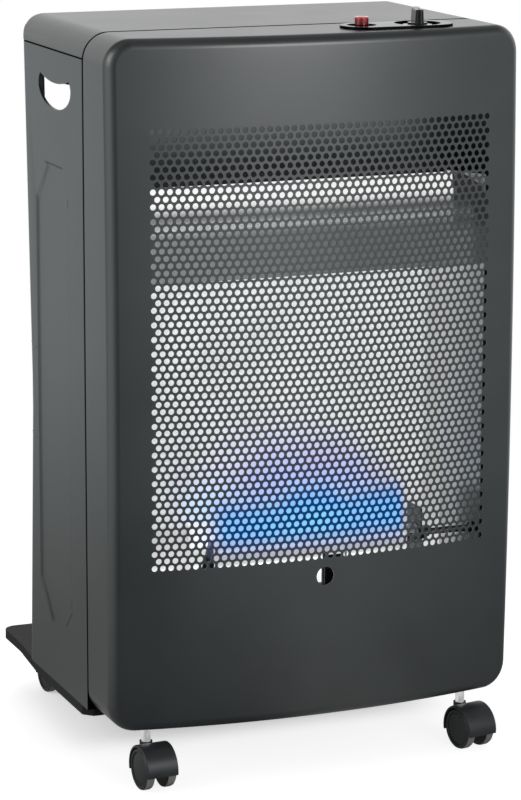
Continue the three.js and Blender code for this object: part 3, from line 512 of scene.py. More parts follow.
def blue_flame(tree, vector, x, y, z):
    """Burning gas: a pale blue core under a violet veil, clear where there is none."""
    core, veil = flame_shape(tree, x, z)
    licks = tree.noise(vector, 70.0, 3.0, 0.5, (1.0, 1.0, 0.35))
    hot = (x - 0.003).size().ramp(0.0, 0.07, 1.0, 0.35) * (z - 0.246).size().fall(0.004, 0.026)
    shade = tree.blend(core, (0.38, 0.38, 0.82), (0.21, 0.52, 0.98))
    shade = tree.blend(hot * licks.ramp(0.3, 0.6), shade, (0.20, 0.68, 0.97))
    body = (core * 0.74).most(veil * 0.40) * licks.ramp(0.15, 0.5, 0.70, 1.0)
    tree.surface(colour=DARK, roughness=1.0, specular=0.0, alpha=body, glow=shade)


def dull_black_hood(tree, vector, x, y, z):
    """The hood over the firebox, dull black with a faint light towards its top."""
    glow = tree.blend(dim_hood(x, z), DARK, (0.088, 0.096, 0.100))
    tree.surface(colour=NEAR_BLACK, roughness=0.7, specular=0.2, glow=glow)


def back_glow(x, y, z):
    """Brighter at the foot, behind the burner."""
    return z.ramp(0.200, 0.235, 0.66, 0.47) - x.ramp(0.120, 0.160) * 0.03


def left_glow(x, y, z):
    """Dimmer at the foot, beside the burner."""
    return z.ramp(0.222, 0.262, 0.30, 0.50)


# Darker towards the foot, down to the firebox floor.
def left_foot_darkening(x, y, z):
    return z.ramp(0.215, 0.262, 0.62, 0.0) * z.ramp(0.190, 0.200)


def right_glow(x, y, z):
    """Dimmer towards the front edge and at its foot."""
    return x.ramp(0.158, 0.184, 0.27, 0.08) * z.ramp(0.205, 0.30, 0.25, 1.0)


def front_edge_black(x, y, z):
    """Black only along the edge that stands furthest out."""
    return x.ramp(0.1836, 0.1846)


def floor_glow(x, y, z):
    """Lit under the burner, dim beside it on the right."""
    return x.ramp(0.085, 0.125, 0.62, 0.10)


def tube_glow(x, y, z):
    """A little dimmer at the left end."""
    return x.ramp(-0.125, -0.100, 0.32, 0.46)


def hood_glow(x, y, z):
    """The bend is in full light up to the right end, the upright front is in the panel's shade."""
    upright = x.ramp(-0.15, 0.06, 0.15, 0.055)
    return upright + z.ramp(*HOOD_BEND) * hood_end(x, y) * 0.80


def hood_end(x, y):
    """1 up to the slanted end of the lit part, then 0."""
    return (x - y * HOOD_SLANT).fall(0.2108, 0.2124)


def hood_end_shade(x, y, z):
    """Painted shade beyond the end of the lit part, above the upright front."""
    return (1 - hood_end(x, y)) * z.ramp(0.520, 0.535) * 0.6


PAINT = (0.024, 0.0290, 0.0305)
DARK_PAINT = (0.012, 0.0125, 0.013)
DULL_SHEET = (0.26, 0.27, 0.28)
HOOD_SHEET = (0.20, 0.21, 0.22)
ALUMINIUM = (0.80, 0.81, 0.82)
BLACK = (0.012, 0.013, 0.0135)
CONTROL_TONE = (0.010, 0.0105, 0.011)
FINISHES = {
    "paint": finish("charcoal_powder_coat", powder_coat(PAINT)),
    "dark_paint": finish("dark_powder_coat", powder_coat(DARK_PAINT, 0.42, 0.5)),
    "aluminised": finish("aluminised_sheet", bright_sheet(ALUMINIUM)),
    "galvanised": finish("zinc_coating", zinc_coat()),
    "brass": finish("turned_brass", plain_metal((0.62, 0.45, 0.18), 0.28)),
    "chrome": finish("bright_plating", plain_metal((0.86, 0.87, 0.88), 0.12)),
    "copper": finish("drawn_copper", plain_metal((0.60, 0.29, 0.17), 0.34)),
    "ceramic": finish("glazed_insulator", glazed),
    "black_plastic": finish("black_moulding", moulding(BLACK)),
    "red_plastic": finish("red_lens", red_lens),
    "silicone": finish("red_sleeve", sleeve),
}
FRONT_PAINT = finish("front_powder_coat", powder_coat(PAINT, cover=front_cover))
LID_PAINT = finish("lid_powder_coat", powder_coat(PAINT, cover=lid_cover))
WALL_PAINT = finish("wall_powder_coat", powder_coat(PAINT, cover=wall_cover))
SOOTY_COPPER = finish("sooty_copper", plain_metal((0.10, 0.088, 0.078), 0.5))
OWN_FINISH = {
    "reflector_back": finish("back_reflector", bright_sheet(ALUMINIUM, 0.05, back_glow)),
    "reflector_left": finish("left_reflector", bright_sheet(ALUMINIUM, 0.12, left_glow, blackness=left_foot_darkening)),
    "reflector_right": finish(
        "right_reflector", bright_sheet(DULL_SHEET, 0.2, right_glow, blackness=front_edge_black)
    ),
    "deflector": finish("hood_reflector", bright_sheet(HOOD_SHEET, 0.2, hood_glow, (0.04, 1, 1), hood_end_shade)),
    "firebox_floor": finish("floor_reflector", bright_sheet(DULL_SHEET, glow=floor_glow)),
    "burner_tube": finish("lit_tube", bright_sheet(DULL_SHEET, glow=tube_glow)),
    "shroud": finish("near_black_hood", dull_black_hood),
    "bulkhead": finish("zinc_with_shaded_front", zinc_coat(shaded_front=True)),
    "pilot_bracket": FINISHES["dark_paint"],
    "base_plate": finish("base_powder_coat", powder_coat(DARK_PAINT, 0.60, 0.25)),
    "supply_pipe": SOOTY_COPPER,
    "thermocouple": SOOTY_COPPER,
    "pilot_burner": SOOTY_COPPER,
    "injector": SOOTY_COPPER,
    "injector_bracket": FINISHES["dark_paint"],
}
STEM_PLATING = finish("stem_plating", plain_metal((0.88, 0.89, 0.90), 0.12, glow=0.36))
CONTROL_BLACK = finish(
    "control_plate_moulding", moulding(CONTROL_TONE, 0.24, 0.000008, coat=0.15, side_z=PLATE_HIGH)
)
KNOB_BLACK = finish("knob_moulding", moulding(CONTROL_TONE, 0.20, 0.00005, specular=0.28))
CASTOR_BLACK = finish("castor_moulding", moulding((0.024, 0.027, 0.029), 0.40))
# The tread: dark grey nylon, lighter here by a painted reflection of the floor.
TREAD = finish("grey_tread", moulding((0.19, 0.187, 0.182), 0.5))
FLAME = finish("blue_flame", blue_flame)

SLOT_OF = {row["node"]: row["material_slot"] for row in frame["record"]["subparts"]}
BODY_OF = {
    node: body for body, nodes in frame["record"]["behaviour"]["bodies"].items() for node in nodes
}


# ------------------------------------------------------------------ modelling by hand


def deselect():
    if bpy.context.object and bpy.context.object.mode != "OBJECT":
        bpy.ops.object.mode_set(mode="OBJECT")
    bpy.ops.object.select_all(action="DESELECT")


def take(piece):
    deselect()
    piece.select_set(True)
    bpy.context.view_layer.objects.active = piece


def named(name):
    piece = bpy.context.active_object
    piece.name = name
    piece.data.name = name
    return piece


def settle(piece):
    """Puts the object's place, turn and size into its mesh."""
    take(piece)
    bpy.ops.object.transform_apply(location=True, rotation=True, scale=True)
    return piece


def pick_by(kind):
    bpy.ops.mesh.select_mode(type=kind)


def open_mesh(piece, kind="FACE"):
    take(piece)
    bpy.ops.object.mode_set(mode="EDIT")
    pick_by(kind)
    bpy.ops.mesh.select_all(action="DESELECT")


def close_mesh():
    bpy.ops.object.mode_set(mode="OBJECT")


def pick_all():
    bpy.ops.mesh.select_all(action="SELECT")


def face_outward():
    pick_all()
    bpy.ops.mesh.normals_make_consistent(inside=False)


def pull_out(way):
    """Extrudes the selected faces."""
    bpy.ops.mesh.extrude_region_move(TRANSFORM_OT_translate={"value": way})


def round_picked(radius, segments):
    bpy.ops.mesh.bevel(offset=radius, segments=segments, affect="EDGES")


def round_sharp(radius, segments):
    """A round on every edge of the open mesh that is sharper than 60 degrees."""
    pick_by("EDGE")
    bpy.ops.mesh.select_all(action="DESELECT")
    bpy.ops.mesh.edges_select_sharp(sharpness=radians(60))
    round_picked(radius, segments)


def pick_faces(piece, test):
    mesh = bmesh.from_edit_mesh(piece.data)
    mesh.normal_update()
    for face in mesh.faces:
        face.select = bool(test(face.calc_center_median(), face.normal))
    mesh.select_flush(True)
    bmesh.update_edit_mesh(piece.data)


def pick_edges(piece, test):
    mesh = bmesh.from_edit_mesh(piece.data)
    for edge in mesh.edges:
        a, b = (v.co for v in edge.verts)
        edge.select = bool(test(a, b))
    bmesh.update_edit_mesh(piece.data)


def pick_creases(piece, angle, test):
    """Every edge that is sharper than the angle, of those whose ends both pass the test."""
    mesh = bmesh.from_edit_mesh(piece.data)
    for edge in mesh.edges:
        sharp = len(edge.link_faces) == 2 and edge.calc_face_angle(0) > radians(angle)
        edge.select = sharp and all(test(v.co) for v in edge.verts)
    bmesh.update_edit_mesh(piece.data)


def move_picked(piece, place):
    """Every selected point goes where place(point) says."""
    mesh = bmesh.from_edit_mesh(piece.data)
    for vertex in mesh.verts:
        if vertex.select:
            vertex.co = place(vertex.co)
    bmesh.update_edit_mesh(piece.data)


def apply_modifier(piece, kind, **settings):
    take(piece)
    modifier = piece.modifiers.new(kind.lower(), kind)
    for key, setting in settings.items():
        setattr(modifier, key, setting)
    bpy.ops.object.modifier_apply(modifier=modifier.name)


def smooth(piece, angle=32):
    """Smooth shading up to the angle; a large face stays flat next to a small one."""
    take(piece)
    bpy.ops.object.shade_smooth_by_angle(angle=radians(angle))
    apply_modifier(piece, "WEIGHTED_NORMAL", keep_sharp=True, weight=60)
    return piece


def soften(piece, width, segments=2, angle=32):
    """A small round on every edge that is sharper than the angle."""
    apply_modifier(
        piece, "BEVEL", width=width, segments=segments, limit_method="ANGLE",
        angle_limit=radians(angle), use_clamp_overlap=True,
    )


def coat(piece, material):
    piece.data.materials.clear()
    piece.data.materials.append(material)


def belongs(piece, node, *more, material=None):
    """The piece stands for one or more CAD nodes, moves with their body and takes their finish."""
    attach(piece, BODY_OF[node])
    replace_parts(piece, node, *more)
    coat(piece, material or FINISHES[SLOT_OF[node]])
    return piece


def cut(piece, cutter, operation="DIFFERENCE"):
    """Takes the cutter away from the piece, or joins it on, and removes the cutter."""
    apply_modifier(piece, "BOOLEAN", operation=operation, object=cutter, solver="MANIFOLD")
    bpy.data.objects.remove(cutter)


def join_to(piece, other):
    cut(piece, other, "UNION")


def drill(x, y, z, radius, depth, axis="Y", corners=48, name="drill"):
    """A round bar about its middle, to cut with or to build with."""
    turn = {"Y": (pi / 2, 0, 0), "Z": (0, 0, 0), "X": (0, pi / 2, 0)}[axis]
    bpy.ops.mesh.primitive_cylinder_add(
        vertices=corners, radius=radius, depth=depth, location=(x, y, z), rotation=turn
    )
    return settle(named(name))


def block(low, high, name="block"):
    middle = (Vector(low) + Vector(high)) / 2
    bpy.ops.mesh.primitive_cube_add(size=1, location=middle)
    piece = named(name)
    piece.scale = Vector(high) - Vector(low)
    return settle(piece)


def flat(name, middle, turn, size):
    """A plane about its middle, turned about one axis, to shape a sheet from."""
    bpy.ops.mesh.primitive_plane_add(size=1, location=middle, rotation=turn)
    piece = named(name)
    piece.scale = (*size, 1)
    return settle(piece)


def copy_of(piece, name):
    """A copy with a mesh of its own."""
    twin = piece.copy()
    twin.data = piece.data.copy()
    twin.name = name
    twin.data.name = name
    bpy.context.scene.collection.objects.link(twin)
    return twin


def merged_copy(node, name):
    """A CAD node's shape with its loose triangles joined and its flat faces whole."""
    piece = copy_of(frame["nodes"][node], name)
    for key in list(piece.keys()):
        del piece[key]
    piece.parent = None
    open_mesh(piece, "VERT")
    bpy.ops.mesh.customdata_custom_splitnormals_clear()
    pick_all()
    bpy.ops.mesh.remove_doubles(threshold=0.000002)
    bpy.ops.mesh.dissolve_limited(angle_limit=radians(0.6))
    close_mesh()
    return piece


def dressed(node, material=None, widen=1.0):
    """A CAD node's own shape with its edges softened."""
    piece = merged_copy(node, node + "_piece")
    soften(piece, 0.0003)
    piece.scale = (widen, 1, 1)
    settle(piece)
    smooth(piece)
    return belongs(piece, node, material=material)


def turned(name, profile, corners):
    """A solid of revolution about Z: a disc pushed and sized from one [radius, height] to the next."""
    radius, height = profile[0]
    bpy.ops.mesh.primitive_circle_add(
        vertices=corners, radius=radius, fill_type="NGON", location=(0, 0, height)
    )
    piece = settle(named(name))
    open_mesh(piece)
    pick_all()
    for next_radius, next_height in profile[1:]:
        pull_out((0, 0, next_height - height))
        size = next_radius / radius
        bpy.ops.transform.resize(value=(size, size, 1), center_override=(0, 0, next_height))
        radius, height = next_radius, next_height
    face_outward()
    close_mesh()
    return piece


def stand(piece, x, y, turn=0.0):
    """Puts a piece that was modelled about the origin upright at its place."""
    piece.location = (x, shift(y), 0)
    piece.rotation_euler = (0, 0, turn)
    return settle(piece)


# ------------------------------------------------------------------ perforated front


def bow_depth(across):
    return BOW_RADIUS - sqrt(BOW_RADIUS**2 - across**2)


def slice_through(count, first, last, normal):
    """Evenly spaced cuts across the whole open mesh."""
    for i in range(count + 1):
        at = first + (last - first) * i / count
        pick_all()
        bpy.ops.mesh.bisect(plane_co=Vector(normal) * at, plane_no=normal)


def perforated_front():
    """One sheet: rounded pan with a bowed face, its field of small round holes drilled through."""
    half = BOW_RADIUS * asin(HALF_WIDTH / BOW_RADIUS)
    size = 2 * half, PAN_TOP - PAN_BOTTOM
    piece = flat("perforated_front", (0, PAN_REAR, PAN_MIDDLE), (pi / 2, 0, 0), size)
    open_mesh(piece, "VERT")
    pick_all()
    bpy.ops.mesh.bevel(offset=PAN_CORNER, segments=10, affect="VERTICES")
    slice_through(26, PAN_CORNER - half, half - PAN_CORNER, (1, 0, 0))
    slice_through(24, PAN_BOTTOM + PAN_CORNER, PAN_TOP - PAN_CORNER, (0, 0, 1))
    pick_by("FACE")
    pick_all()
    pull_out((0, -PAN_REAR, 0))
    face_outward()
    pick_faces(piece, lambda at, normal: at.y > PAN_REAR - MM)
    bpy.ops.mesh.delete(type="FACE")
    round_sharp(PAN_FILLET, 8)
    # the rim behind is turned in, round a small bend
    pick_edges(piece, lambda a, b: min(a.y, b.y) > PAN_REAR - MM)
    bpy.ops.mesh.extrude_edges_move()
    bpy.ops.transform.resize(
        value=((half - PAN_FLANGE) / half, 1, 1 - 2 * PAN_FLANGE / (PAN_TOP - PAN_BOTTOM)),
        center_override=(0, PAN_REAR, PAN_MIDDLE),
    )
    round_sharp(PAN_RIM, 3)
    close_mesh()
    apply_modifier(piece, "SOLIDIFY", thickness=SHEET, offset=-1.0, use_even_offset=True)
    drill_field(piece)
    bend_to_bow(piece)
    open_for_fittings(piece)
    return smooth(piece, 30)


def drill_field(piece):
    """Staggered rows of round holes, one hole less in every second row, and the sight hole."""
    for first, count in ((0, 44), (1, 43)):
        rows = (HOLE_ROWS - first + 1) // 2
        left = -(count - 1) / 2 * HOLE_PITCH + HOLE_SHIFT
        tool = drill(left, 0.0, HOLE_FIRST_ROW + first * HOLE_ROW, HOLE_RADIUS, 0.02, corners=12)
        for copies, step in ((count, (HOLE_PITCH, 0, 0)), (rows, (0, 0, 2 * HOLE_ROW))):
            apply_modifier(
                tool, "ARRAY", count=copies, use_relative_offset=False, use_constant_offset=True,
                constant_offset_displace=step,
            )
        cut(piece, tool)
    cut(piece, drill(0, 0, SIGHT_HOLE_Z, SIGHT_HOLE_R, 0.02, corners=40))


def open_for_fittings(piece):
    """Holes for the wells of the controls and for two castor stems, and a slot behind below."""
    for x, recess in ((KNOB_X, KNOB_RECESS), (BUTTON_X, BUTTON_RECESS)):
        cut(piece, drill(x, shift(CONTROL_Y), PAN_TOP, recess + 0.0014, 0.02, "Z"))
    for corner in ("front_left", "front_right"):
        x, y, _ = CASTORS[corner]
        cut(piece, drill(x, shift(y), PAN_BOTTOM, STEM_R + 0.0006, 0.01, "Z", 24))
    rear = shift(PAN_REAR)
    cut(piece, block((-0.18, rear - 0.005, PAN_BOTTOM + MM), (0.18, rear + 0.005, 0.0705)))


def bend_to_bow(piece):
    """The flat sheet takes its bow across and its slight dome from top to bottom."""
    fade = PAN_FILLET + 0.0005
    for vertex in piece.data.vertices:
        along, depth, height = vertex.co
        x = BOW_RADIUS * sin(along / BOW_RADIUS)
        rise = (height - PAN_MIDDLE) / (PAN_TOP - PAN_MIDDLE)
        full = bow_depth(x) + DOME * rise**2
        share = 1.0 if depth < fade else max(0.0, 1 - (depth - fade) / (PAN_REAR - 0.006 - fade))
        vertex.co = (x, shift(depth + full * share), height)


# ------------------------------------------------------------------ cabinet


def lid():
    """Top cover: round over both sides, round at its rear corners, turned down in front."""
    corners = (-HALF_WIDTH, shift(SIDE_FRONT), 0.60), (HALF_WIDTH, shift(COVER_REAR), PAN_TOP)
    piece, plan = block(*corners, "lid"), block(*corners, "lid_plan")
    open_mesh(piece, "EDGE")
    pick_edges(piece, lambda a, b: min(a.z, b.z) > PAN_TOP - MM and abs(a.x - b.x) < MM)
    round_picked(PAN_CORNER, 12)
    open_mesh(plan, "EDGE")
    pick_edges(plan, lambda a, b: min(a.y, b.y) > shift(COVER_REAR) - MM and abs(a.z - b.z) > MM)
    round_picked(REAR_BEND, 10)
    close_mesh()
    cut(piece, plan, "INTERSECT")
    open_mesh(piece, "EDGE")
    pick_all()
    bpy.ops.mesh.bisect(plane_co=(0, 0, COVER_EDGE), plane_no=(0, 0, 1), clear_inner=True)
    pick_by("FACE")
    pick_faces(piece, lambda at, normal: normal.y < -0.99)
    bpy.ops.mesh.inset(thickness=PAN_FLANGE, use_boundary=False)
    bpy.ops.mesh.delete(type="FACE")
    round_sharp(COVER_RIM, 3)
    close_mesh()
    apply_modifier(piece, "SOLIDIFY", thickness=SHEET, offset=-1.0, use_even_offset=False)
    smooth(piece, 30)
    return belongs(piece, "top_cover", material=LID_PAINT)


def hand_hole_tool(grow, inner, outer):
    """A smile: an ellipse whose top is cut away by a shallow arc, with round horns."""
    bpy.ops.mesh.primitive_cylinder_add(
        vertices=72, radius=1, depth=outer - inner, location=((inner + outer) / 2, shift(HANDLE_Y), HANDLE_Z),
        rotation=(0, pi / 2, 0),
    )
    tool = named("hand_hole_tool")
    tool.scale = (HANDLE_DROP + grow, HANDLE_HALF + grow, 1)
    settle(tool)
    horn_half = HANDLE_HALF * cos(HANDLE_HORN)
    tip = HANDLE_Z + HANDLE_DROP * sin(HANDLE_HORN)
    arc = (horn_half**2 + HANDLE_SAG**2) / (2 * HANDLE_SAG)
    cut(tool, drill(0, shift(HANDLE_Y), tip - HANDLE_SAG + arc, arc - grow, 1.0, "X", 256))
    open_mesh(tool, "EDGE")
    pick_edges(tool, lambda a, b: (
        abs(a.x - b.x) > MM and a.z > tip - 0.0012 and abs(a.y - shift(HANDLE_Y)) > horn_half - 0.002))
    round_picked(HANDLE_ROUND, 4)
    close_mesh()
    return tool


def field_tool(grow, outer, inner):
    """The pressed field's eight-sided outline, narrowing from the outer to the inner face."""
    width = FIELD_REAR - FIELD_FRONT + 2 * grow
    height = FIELD_HIGH - FIELD_LOW + 2 * grow
    middle = (shift((FIELD_FRONT + FIELD_REAR) / 2), (FIELD_LOW + FIELD_HIGH) / 2)
    tool = flat("field_tool", (outer, *middle), (0, pi / 2, 0), (height, width))
    open_mesh(tool, "VERT")
    pick_all()
    bpy.ops.mesh.bevel(offset=FIELD_CHAMFER * sqrt(2), segments=1, affect="VERTICES")
    pick_by("FACE")
    pick_all()
    pull_out((inner - outer, 0, 0))
    bpy.ops.transform.resize(
        value=(1, 1 - 2 * FIELD_SLOPE / width, 1 - 2 * FIELD_SLOPE / height),
        center_override=(inner, *middle),
    )
    face_outward()
    close_mesh()
    return tool


def return_edge(point):
    """Where a point of the wall's top edge goes when that edge is turned in."""
    bend = Vector((HALF_WIDTH - REAR_BEND, shift(SIDE_REAR - REAR_BEND)))
    if point.y < bend.y:
        return Vector((point.x - SIDE_RETURN, point.y, point.z))
    if point.x < bend.x:
        return Vector((point.x, point.y - SIDE_RETURN, point.z))
    inward = (Vector(point.xy) - bend) * (REAR_BEND - SIDE_RETURN) / REAR_BEND + bend
    return Vector((inward.x, inward.y, point.z))


def side_wall(side):
    """Pressed wall: turned in at front and top, round a waisted bend behind, with its hand hole."""
    rear = shift(SIDE_REAR)
    front = shift(SIDE_FRONT)
    name = "side_wall_left" if side < 0 else "side_wall_right"
    middle = HALF_WIDTH, (front + rear) / 2, (SIDE_LOW + SIDE_HIGH) / 2
    wall = flat(name, middle, (0, pi / 2, 0), (SIDE_HIGH - SIDE_LOW, SIDE_REAR - SIDE_FRONT))
    open_mesh(wall, "EDGE")
    for edge, reach in ((front, FRONT_FLANGE), (rear, REAR_BEND + REAR_FLANGE)):
        pick_edges(wall, lambda a, b: abs(a.y - edge) < MM and abs(b.y - edge) < MM)
        bpy.ops.mesh.extrude_edges_move(TRANSFORM_OT_translate={"value": (-reach, 0, 0)})
    for edge, radius, segments in ((front, SIDE_RIM, 3), (rear, REAR_BEND, 9)):
        pick_edges(wall, lambda a, b: (
            min(a.x, b.x) > HALF_WIDTH - MM and abs(a.y - edge) < MM and abs(b.y - edge) < MM))
        round_picked(radius, segments)
    pick_all()
    bpy.ops.mesh.bisect(plane_co=(0, shift(RETURN_FRONT), 0), plane_no=(0, 1, 0))
    pick_edges(wall, lambda a, b: (
        min(a.z, b.z) > SIDE_HIGH - 0.0001 and min(a.y, b.y) > shift(RETURN_FRONT) - 0.0001))
    bpy.ops.mesh.extrude_edges_move()
    move_picked(wall, return_edge)
    pick_all()
    bpy.ops.mesh.bisect(plane_co=(0, 0, SIDE_WAIST), plane_no=(0, 0, 1))
    face_outward()
    close_mesh()
    waist_in(wall)
    apply_modifier(wall, "SOLIDIFY", thickness=SHEET, offset=-1.0, use_even_offset=True)
    join_to(wall, field_tool(MM, HALF_WIDTH - 0.0005, HALF_WIDTH - FIELD_DEPTH - SHEET))
    cut(wall, field_tool(0.0, HALF_WIDTH + 0.00002, HALF_WIDTH - FIELD_DEPTH))
    join_to(wall, hand_hole_tool(SHEET, HALF_WIDTH - HANDLE_COLLAR, HALF_WIDTH - 0.0005))
    cut(wall, hand_hole_tool(0.0, HALF_WIDTH - 0.012, HALF_WIDTH + 0.005))
    for y, z in DIMPLES:
        bpy.ops.mesh.primitive_uv_sphere_add(
            segments=24, ring_count=16, radius=DIMPLE_R, location=(HALF_WIDTH + DIMPLE_RISE, shift(y), z)
        )
        cut(wall, named("dimple"))
    open_mesh(wall, "VERT")
    pick_all()
    bpy.ops.mesh.remove_doubles(threshold=0.00001)
    pick_by("EDGE")
    pick_creases(wall, 25, lambda at: at.y > shift(0.101) and at.z < 0.6945)
    round_picked(PRESS_ROUND, 2)
    pick_all()
    if side < 0:
        bpy.ops.transform.resize(value=(-1, 1, 1), center_override=(0, 0, 0))
        bpy.ops.mesh.flip_normals()
    close_mesh()
    smooth(wall, 24)
    return belongs(wall, "side_panel_left" if side < 0 else "side_panel_right", material=WALL_PAINT)


def waist_in(wall):
    """The rear bend and flange are drawn forward towards mid-height."""
    for vertex in wall.data.vertices:
        if vertex.co.y < shift(SIDE_REAR - REAR_BEND) - MM:
            continue
        height = vertex.co.z
        end = SIDE_LOW if height < SIDE_WAIST else SIDE_HIGH
        vertex.co.y -= WAIST_DEPTH * (height - end) / (SIDE_WAIST - end)


# ------------------------------------------------------------------ controls


def control_plate():
    """Moulded plate with round ends, and a well for each control."""
    piece = block(
        (PLATE_LEFT, shift(CONTROL_Y - PLATE_HALF), PLATE_LOW),
        (PLATE_RIGHT, shift(CONTROL_Y + PLATE_HALF), PLATE_HIGH), "controls_plate",
    )
    open_mesh(piece, "EDGE")
    pick_edges(piece, lambda a, b: abs(a.z - b.z) > MM)
    round_picked(PLATE_HALF - 0.0001, 24)
    pick_by("FACE")
    pick_faces(piece, lambda at, normal: normal.z > 0.9)
    pick_by("EDGE")
    bpy.ops.mesh.region_to_loop()
    round_picked(0.0010, 4)
    close_mesh()
    y = shift(CONTROL_Y)
    for x, recess, floor, through in (
        (KNOB_X, KNOB_RECESS, KNOB_WELL, KNOB_BORE), (BUTTON_X, BUTTON_RECESS, BUTTON_WELL, BUTTON_BORE)
    ):
        height = PLATE_LOW + 0.001 - floor
        join_to(piece, drill(x, y, floor + height / 2, recess + MM, height, "Z", 96))
        cut(piece, drill(x, y, floor + MM + 0.01, recess, 0.02, "Z", 96))
        cut(piece, drill(x, y, floor, through, 0.02, "Z", 48))
    soften(piece, 0.0003, 2, 50)
    smooth(piece, 30)
    return belongs(piece, "control_plate", material=CONTROL_BLACK)


def knob():
    """Bar grip with round ends and a tapered back, on a round hub, with a pointer groove."""
    half_width, half_length = 0.0044, 0.0184
    piece = block((-half_width, -half_length, KNOB_FOOT), (half_width, half_length, KNOB_TOP), "knob")
    open_mesh(piece, "EDGE")
    pick_edges(piece, lambda a, b: abs(a.z - b.z) > MM)
    round_picked(half_width * 0.85, 8)
    pick_by("FACE")
    pick_faces(piece, lambda at, normal: normal.z > 0.9)
    bpy.ops.transform.resize(value=(0.86, 0.97, 1), center_override=(0, 0, KNOB_TOP))
    pick_by("EDGE")
    bpy.ops.mesh.region_to_loop()
    round_picked(0.0012, 4)
    close_mesh()
    join_to(piece, drill(0, 0, KNOB_FOOT + 0.0009, 0.0095, 0.0018, "Z", 64))
    cut(piece, block((-0.0005, -0.0150, KNOB_TOP - 0.0006), (0.0005, -0.0040, KNOB_TOP + MM)))
    soften(piece, 0.0003, 2, 40)
    smooth(piece, 32)
    stand(piece, KNOB_X, CONTROL_Y, KNOB_TURN)
    return belongs(piece, "control_knob", material=KNOB_BLACK)


def dial():
    """Bright skirt of the knob, with a turned ring and a raised lip."""
    top = KNOB_FOOT - 0.0003
    low = top - 0.0009
    profile = [(0.0046, low), (0.0140, low), (0.0140, top - 0.0001), (0.0139, top), (0.0130, top),
               (0.0128, top - 0.0002), (0.0112, top - 0.0002), (0.0110, top), (0.0046, top)]
    piece = turned("dial_skirt", profile, 96)
    cut(piece, drill(0, 0, top, 0.0046, 0.01, "Z", 48))
    smooth(piece, 30)
    stand(piece, KNOB_X, CONTROL_Y)
    return belongs(piece, "dial_plate")


def button():
    """Round red cap with a slightly hollow top."""
    profile = [(0.00675, 0.703), (0.00675, 0.7302), (0.00655, 0.7309), (0.0061, 0.7314), (0.0052, 0.7316),
               (0.0040, 0.7316), (0.0036, 0.7313), (0.0020, 0.7312), (0.0006, 0.73115)]
    piece = turned("red_button", profile, 48)
    smooth(piece, 40)
    stand(piece, BUTTON_X, CONTROL_Y)
    return belongs(piece, "igniter_button")


# ------------------------------------------------------------------ castors, about their stem


def castor_hood():
    """Moulded half drum over both wheels, with the web between them and the stem's collar."""
    axle = (0, -TRAIL, WHEEL_R)
    piece = drill(*axle, HOOD_R, 2 * WHEEL_OUTER + 0.0004, "X", 72, "hood")
    soften(piece, 0.0011, 3, 60)
    cut(piece, drill(*axle, HOOD_R - HOOD_WALL, 0.1, "X", 72))
    front_drop, rear_drop = 0.0028, 0.0056
    fall = (front_drop - rear_drop) / (2 * HOOD_R)
    web = drill(*axle, HOOD_R - HOOD_WALL + 0.0005, 2 * (WHEEL_INNER - PLAY), "X", 72)
    join_to(piece, web)
    open_mesh(piece)
    pick_all()
    bpy.ops.mesh.bisect(
        plane_co=(0, -TRAIL, WHEEL_R - (front_drop + rear_drop) / 2), plane_no=(0, -fall, 1),
        use_fill=True, clear_inner=True,
    )
    close_mesh()
    height = COLLAR_TOP - WHEEL_R - 0.006
    join_to(piece, drill(0, 0, COLLAR_TOP - height / 2, COLLAR_R, height, "Z", 48))
    cut(piece, drill(0, 0, 0.053, STEM_R + PLAY, 0.05, "Z", 48))
    cut(piece, drill(*axle, 0.0034, 0.1, "X", 32))
    soften(piece, 0.0004, 2, 40)
    smooth(piece, 30)
    return piece


def castor_wheel():
    """Moulded wheel with a round tread; its outer face has a raised rim and a domed cap."""
    width = WHEEL_OUTER - WHEEL_INNER
    profile = [(0.0034, 0.0005), (WHEEL_R - 0.0042, 0.0005), (WHEEL_R - 0.0034, 0.0), (WHEEL_R - 0.0016, 0.0),
               (WHEEL_R - 0.0005, 0.0005), (WHEEL_R, 0.0018), (WHEEL_R, width - 0.0022),
               (WHEEL_R - 0.0005, width - 0.0007), (WHEEL_R - 0.0014, width), (WHEEL_R - 0.0028, width),
               (WHEEL_R - 0.0034, width - 0.0004), (WHEEL_R - 0.0038, width - 0.0014),
               (WHEEL_R - 0.0046, width - 0.0014), (WHEEL_R - 0.0052, width - 0.0009),
               (0.0110, width - 0.0004), (0.0060, width - 0.0001), (0.0010, width)]
    piece = turned("wheel", profile, 64)
    cut(piece, drill(0, 0, 0, 0.0033, 2 * (width - 0.003), "Z", 32))
    smooth(piece, 34)
    piece.rotation_euler = (0, pi / 2, 0)
    piece.location = (WHEEL_INNER, 0, 0)
    return settle(piece)


def grey_tread(piece, x, y, turn):
    """The wheel's running surface takes a second finish: its own dark grey, lightened by a painted reflection
    of the floor.
    """
    along = Vector((cos(turn), sin(turn), 0))
    axle = Vector((x + TRAIL * sin(turn), shift(y) - TRAIL * cos(turn), WHEEL_R))
    piece.data.materials.append(TREAD)
    for face in piece.data.polygons:
        offset = face.center - axle
        away = (offset - offset.project(along)).length
        face.material_index = 1 if away > WHEEL_R - 0.0012 and abs(face.normal.dot(along)) < 0.7 else 0


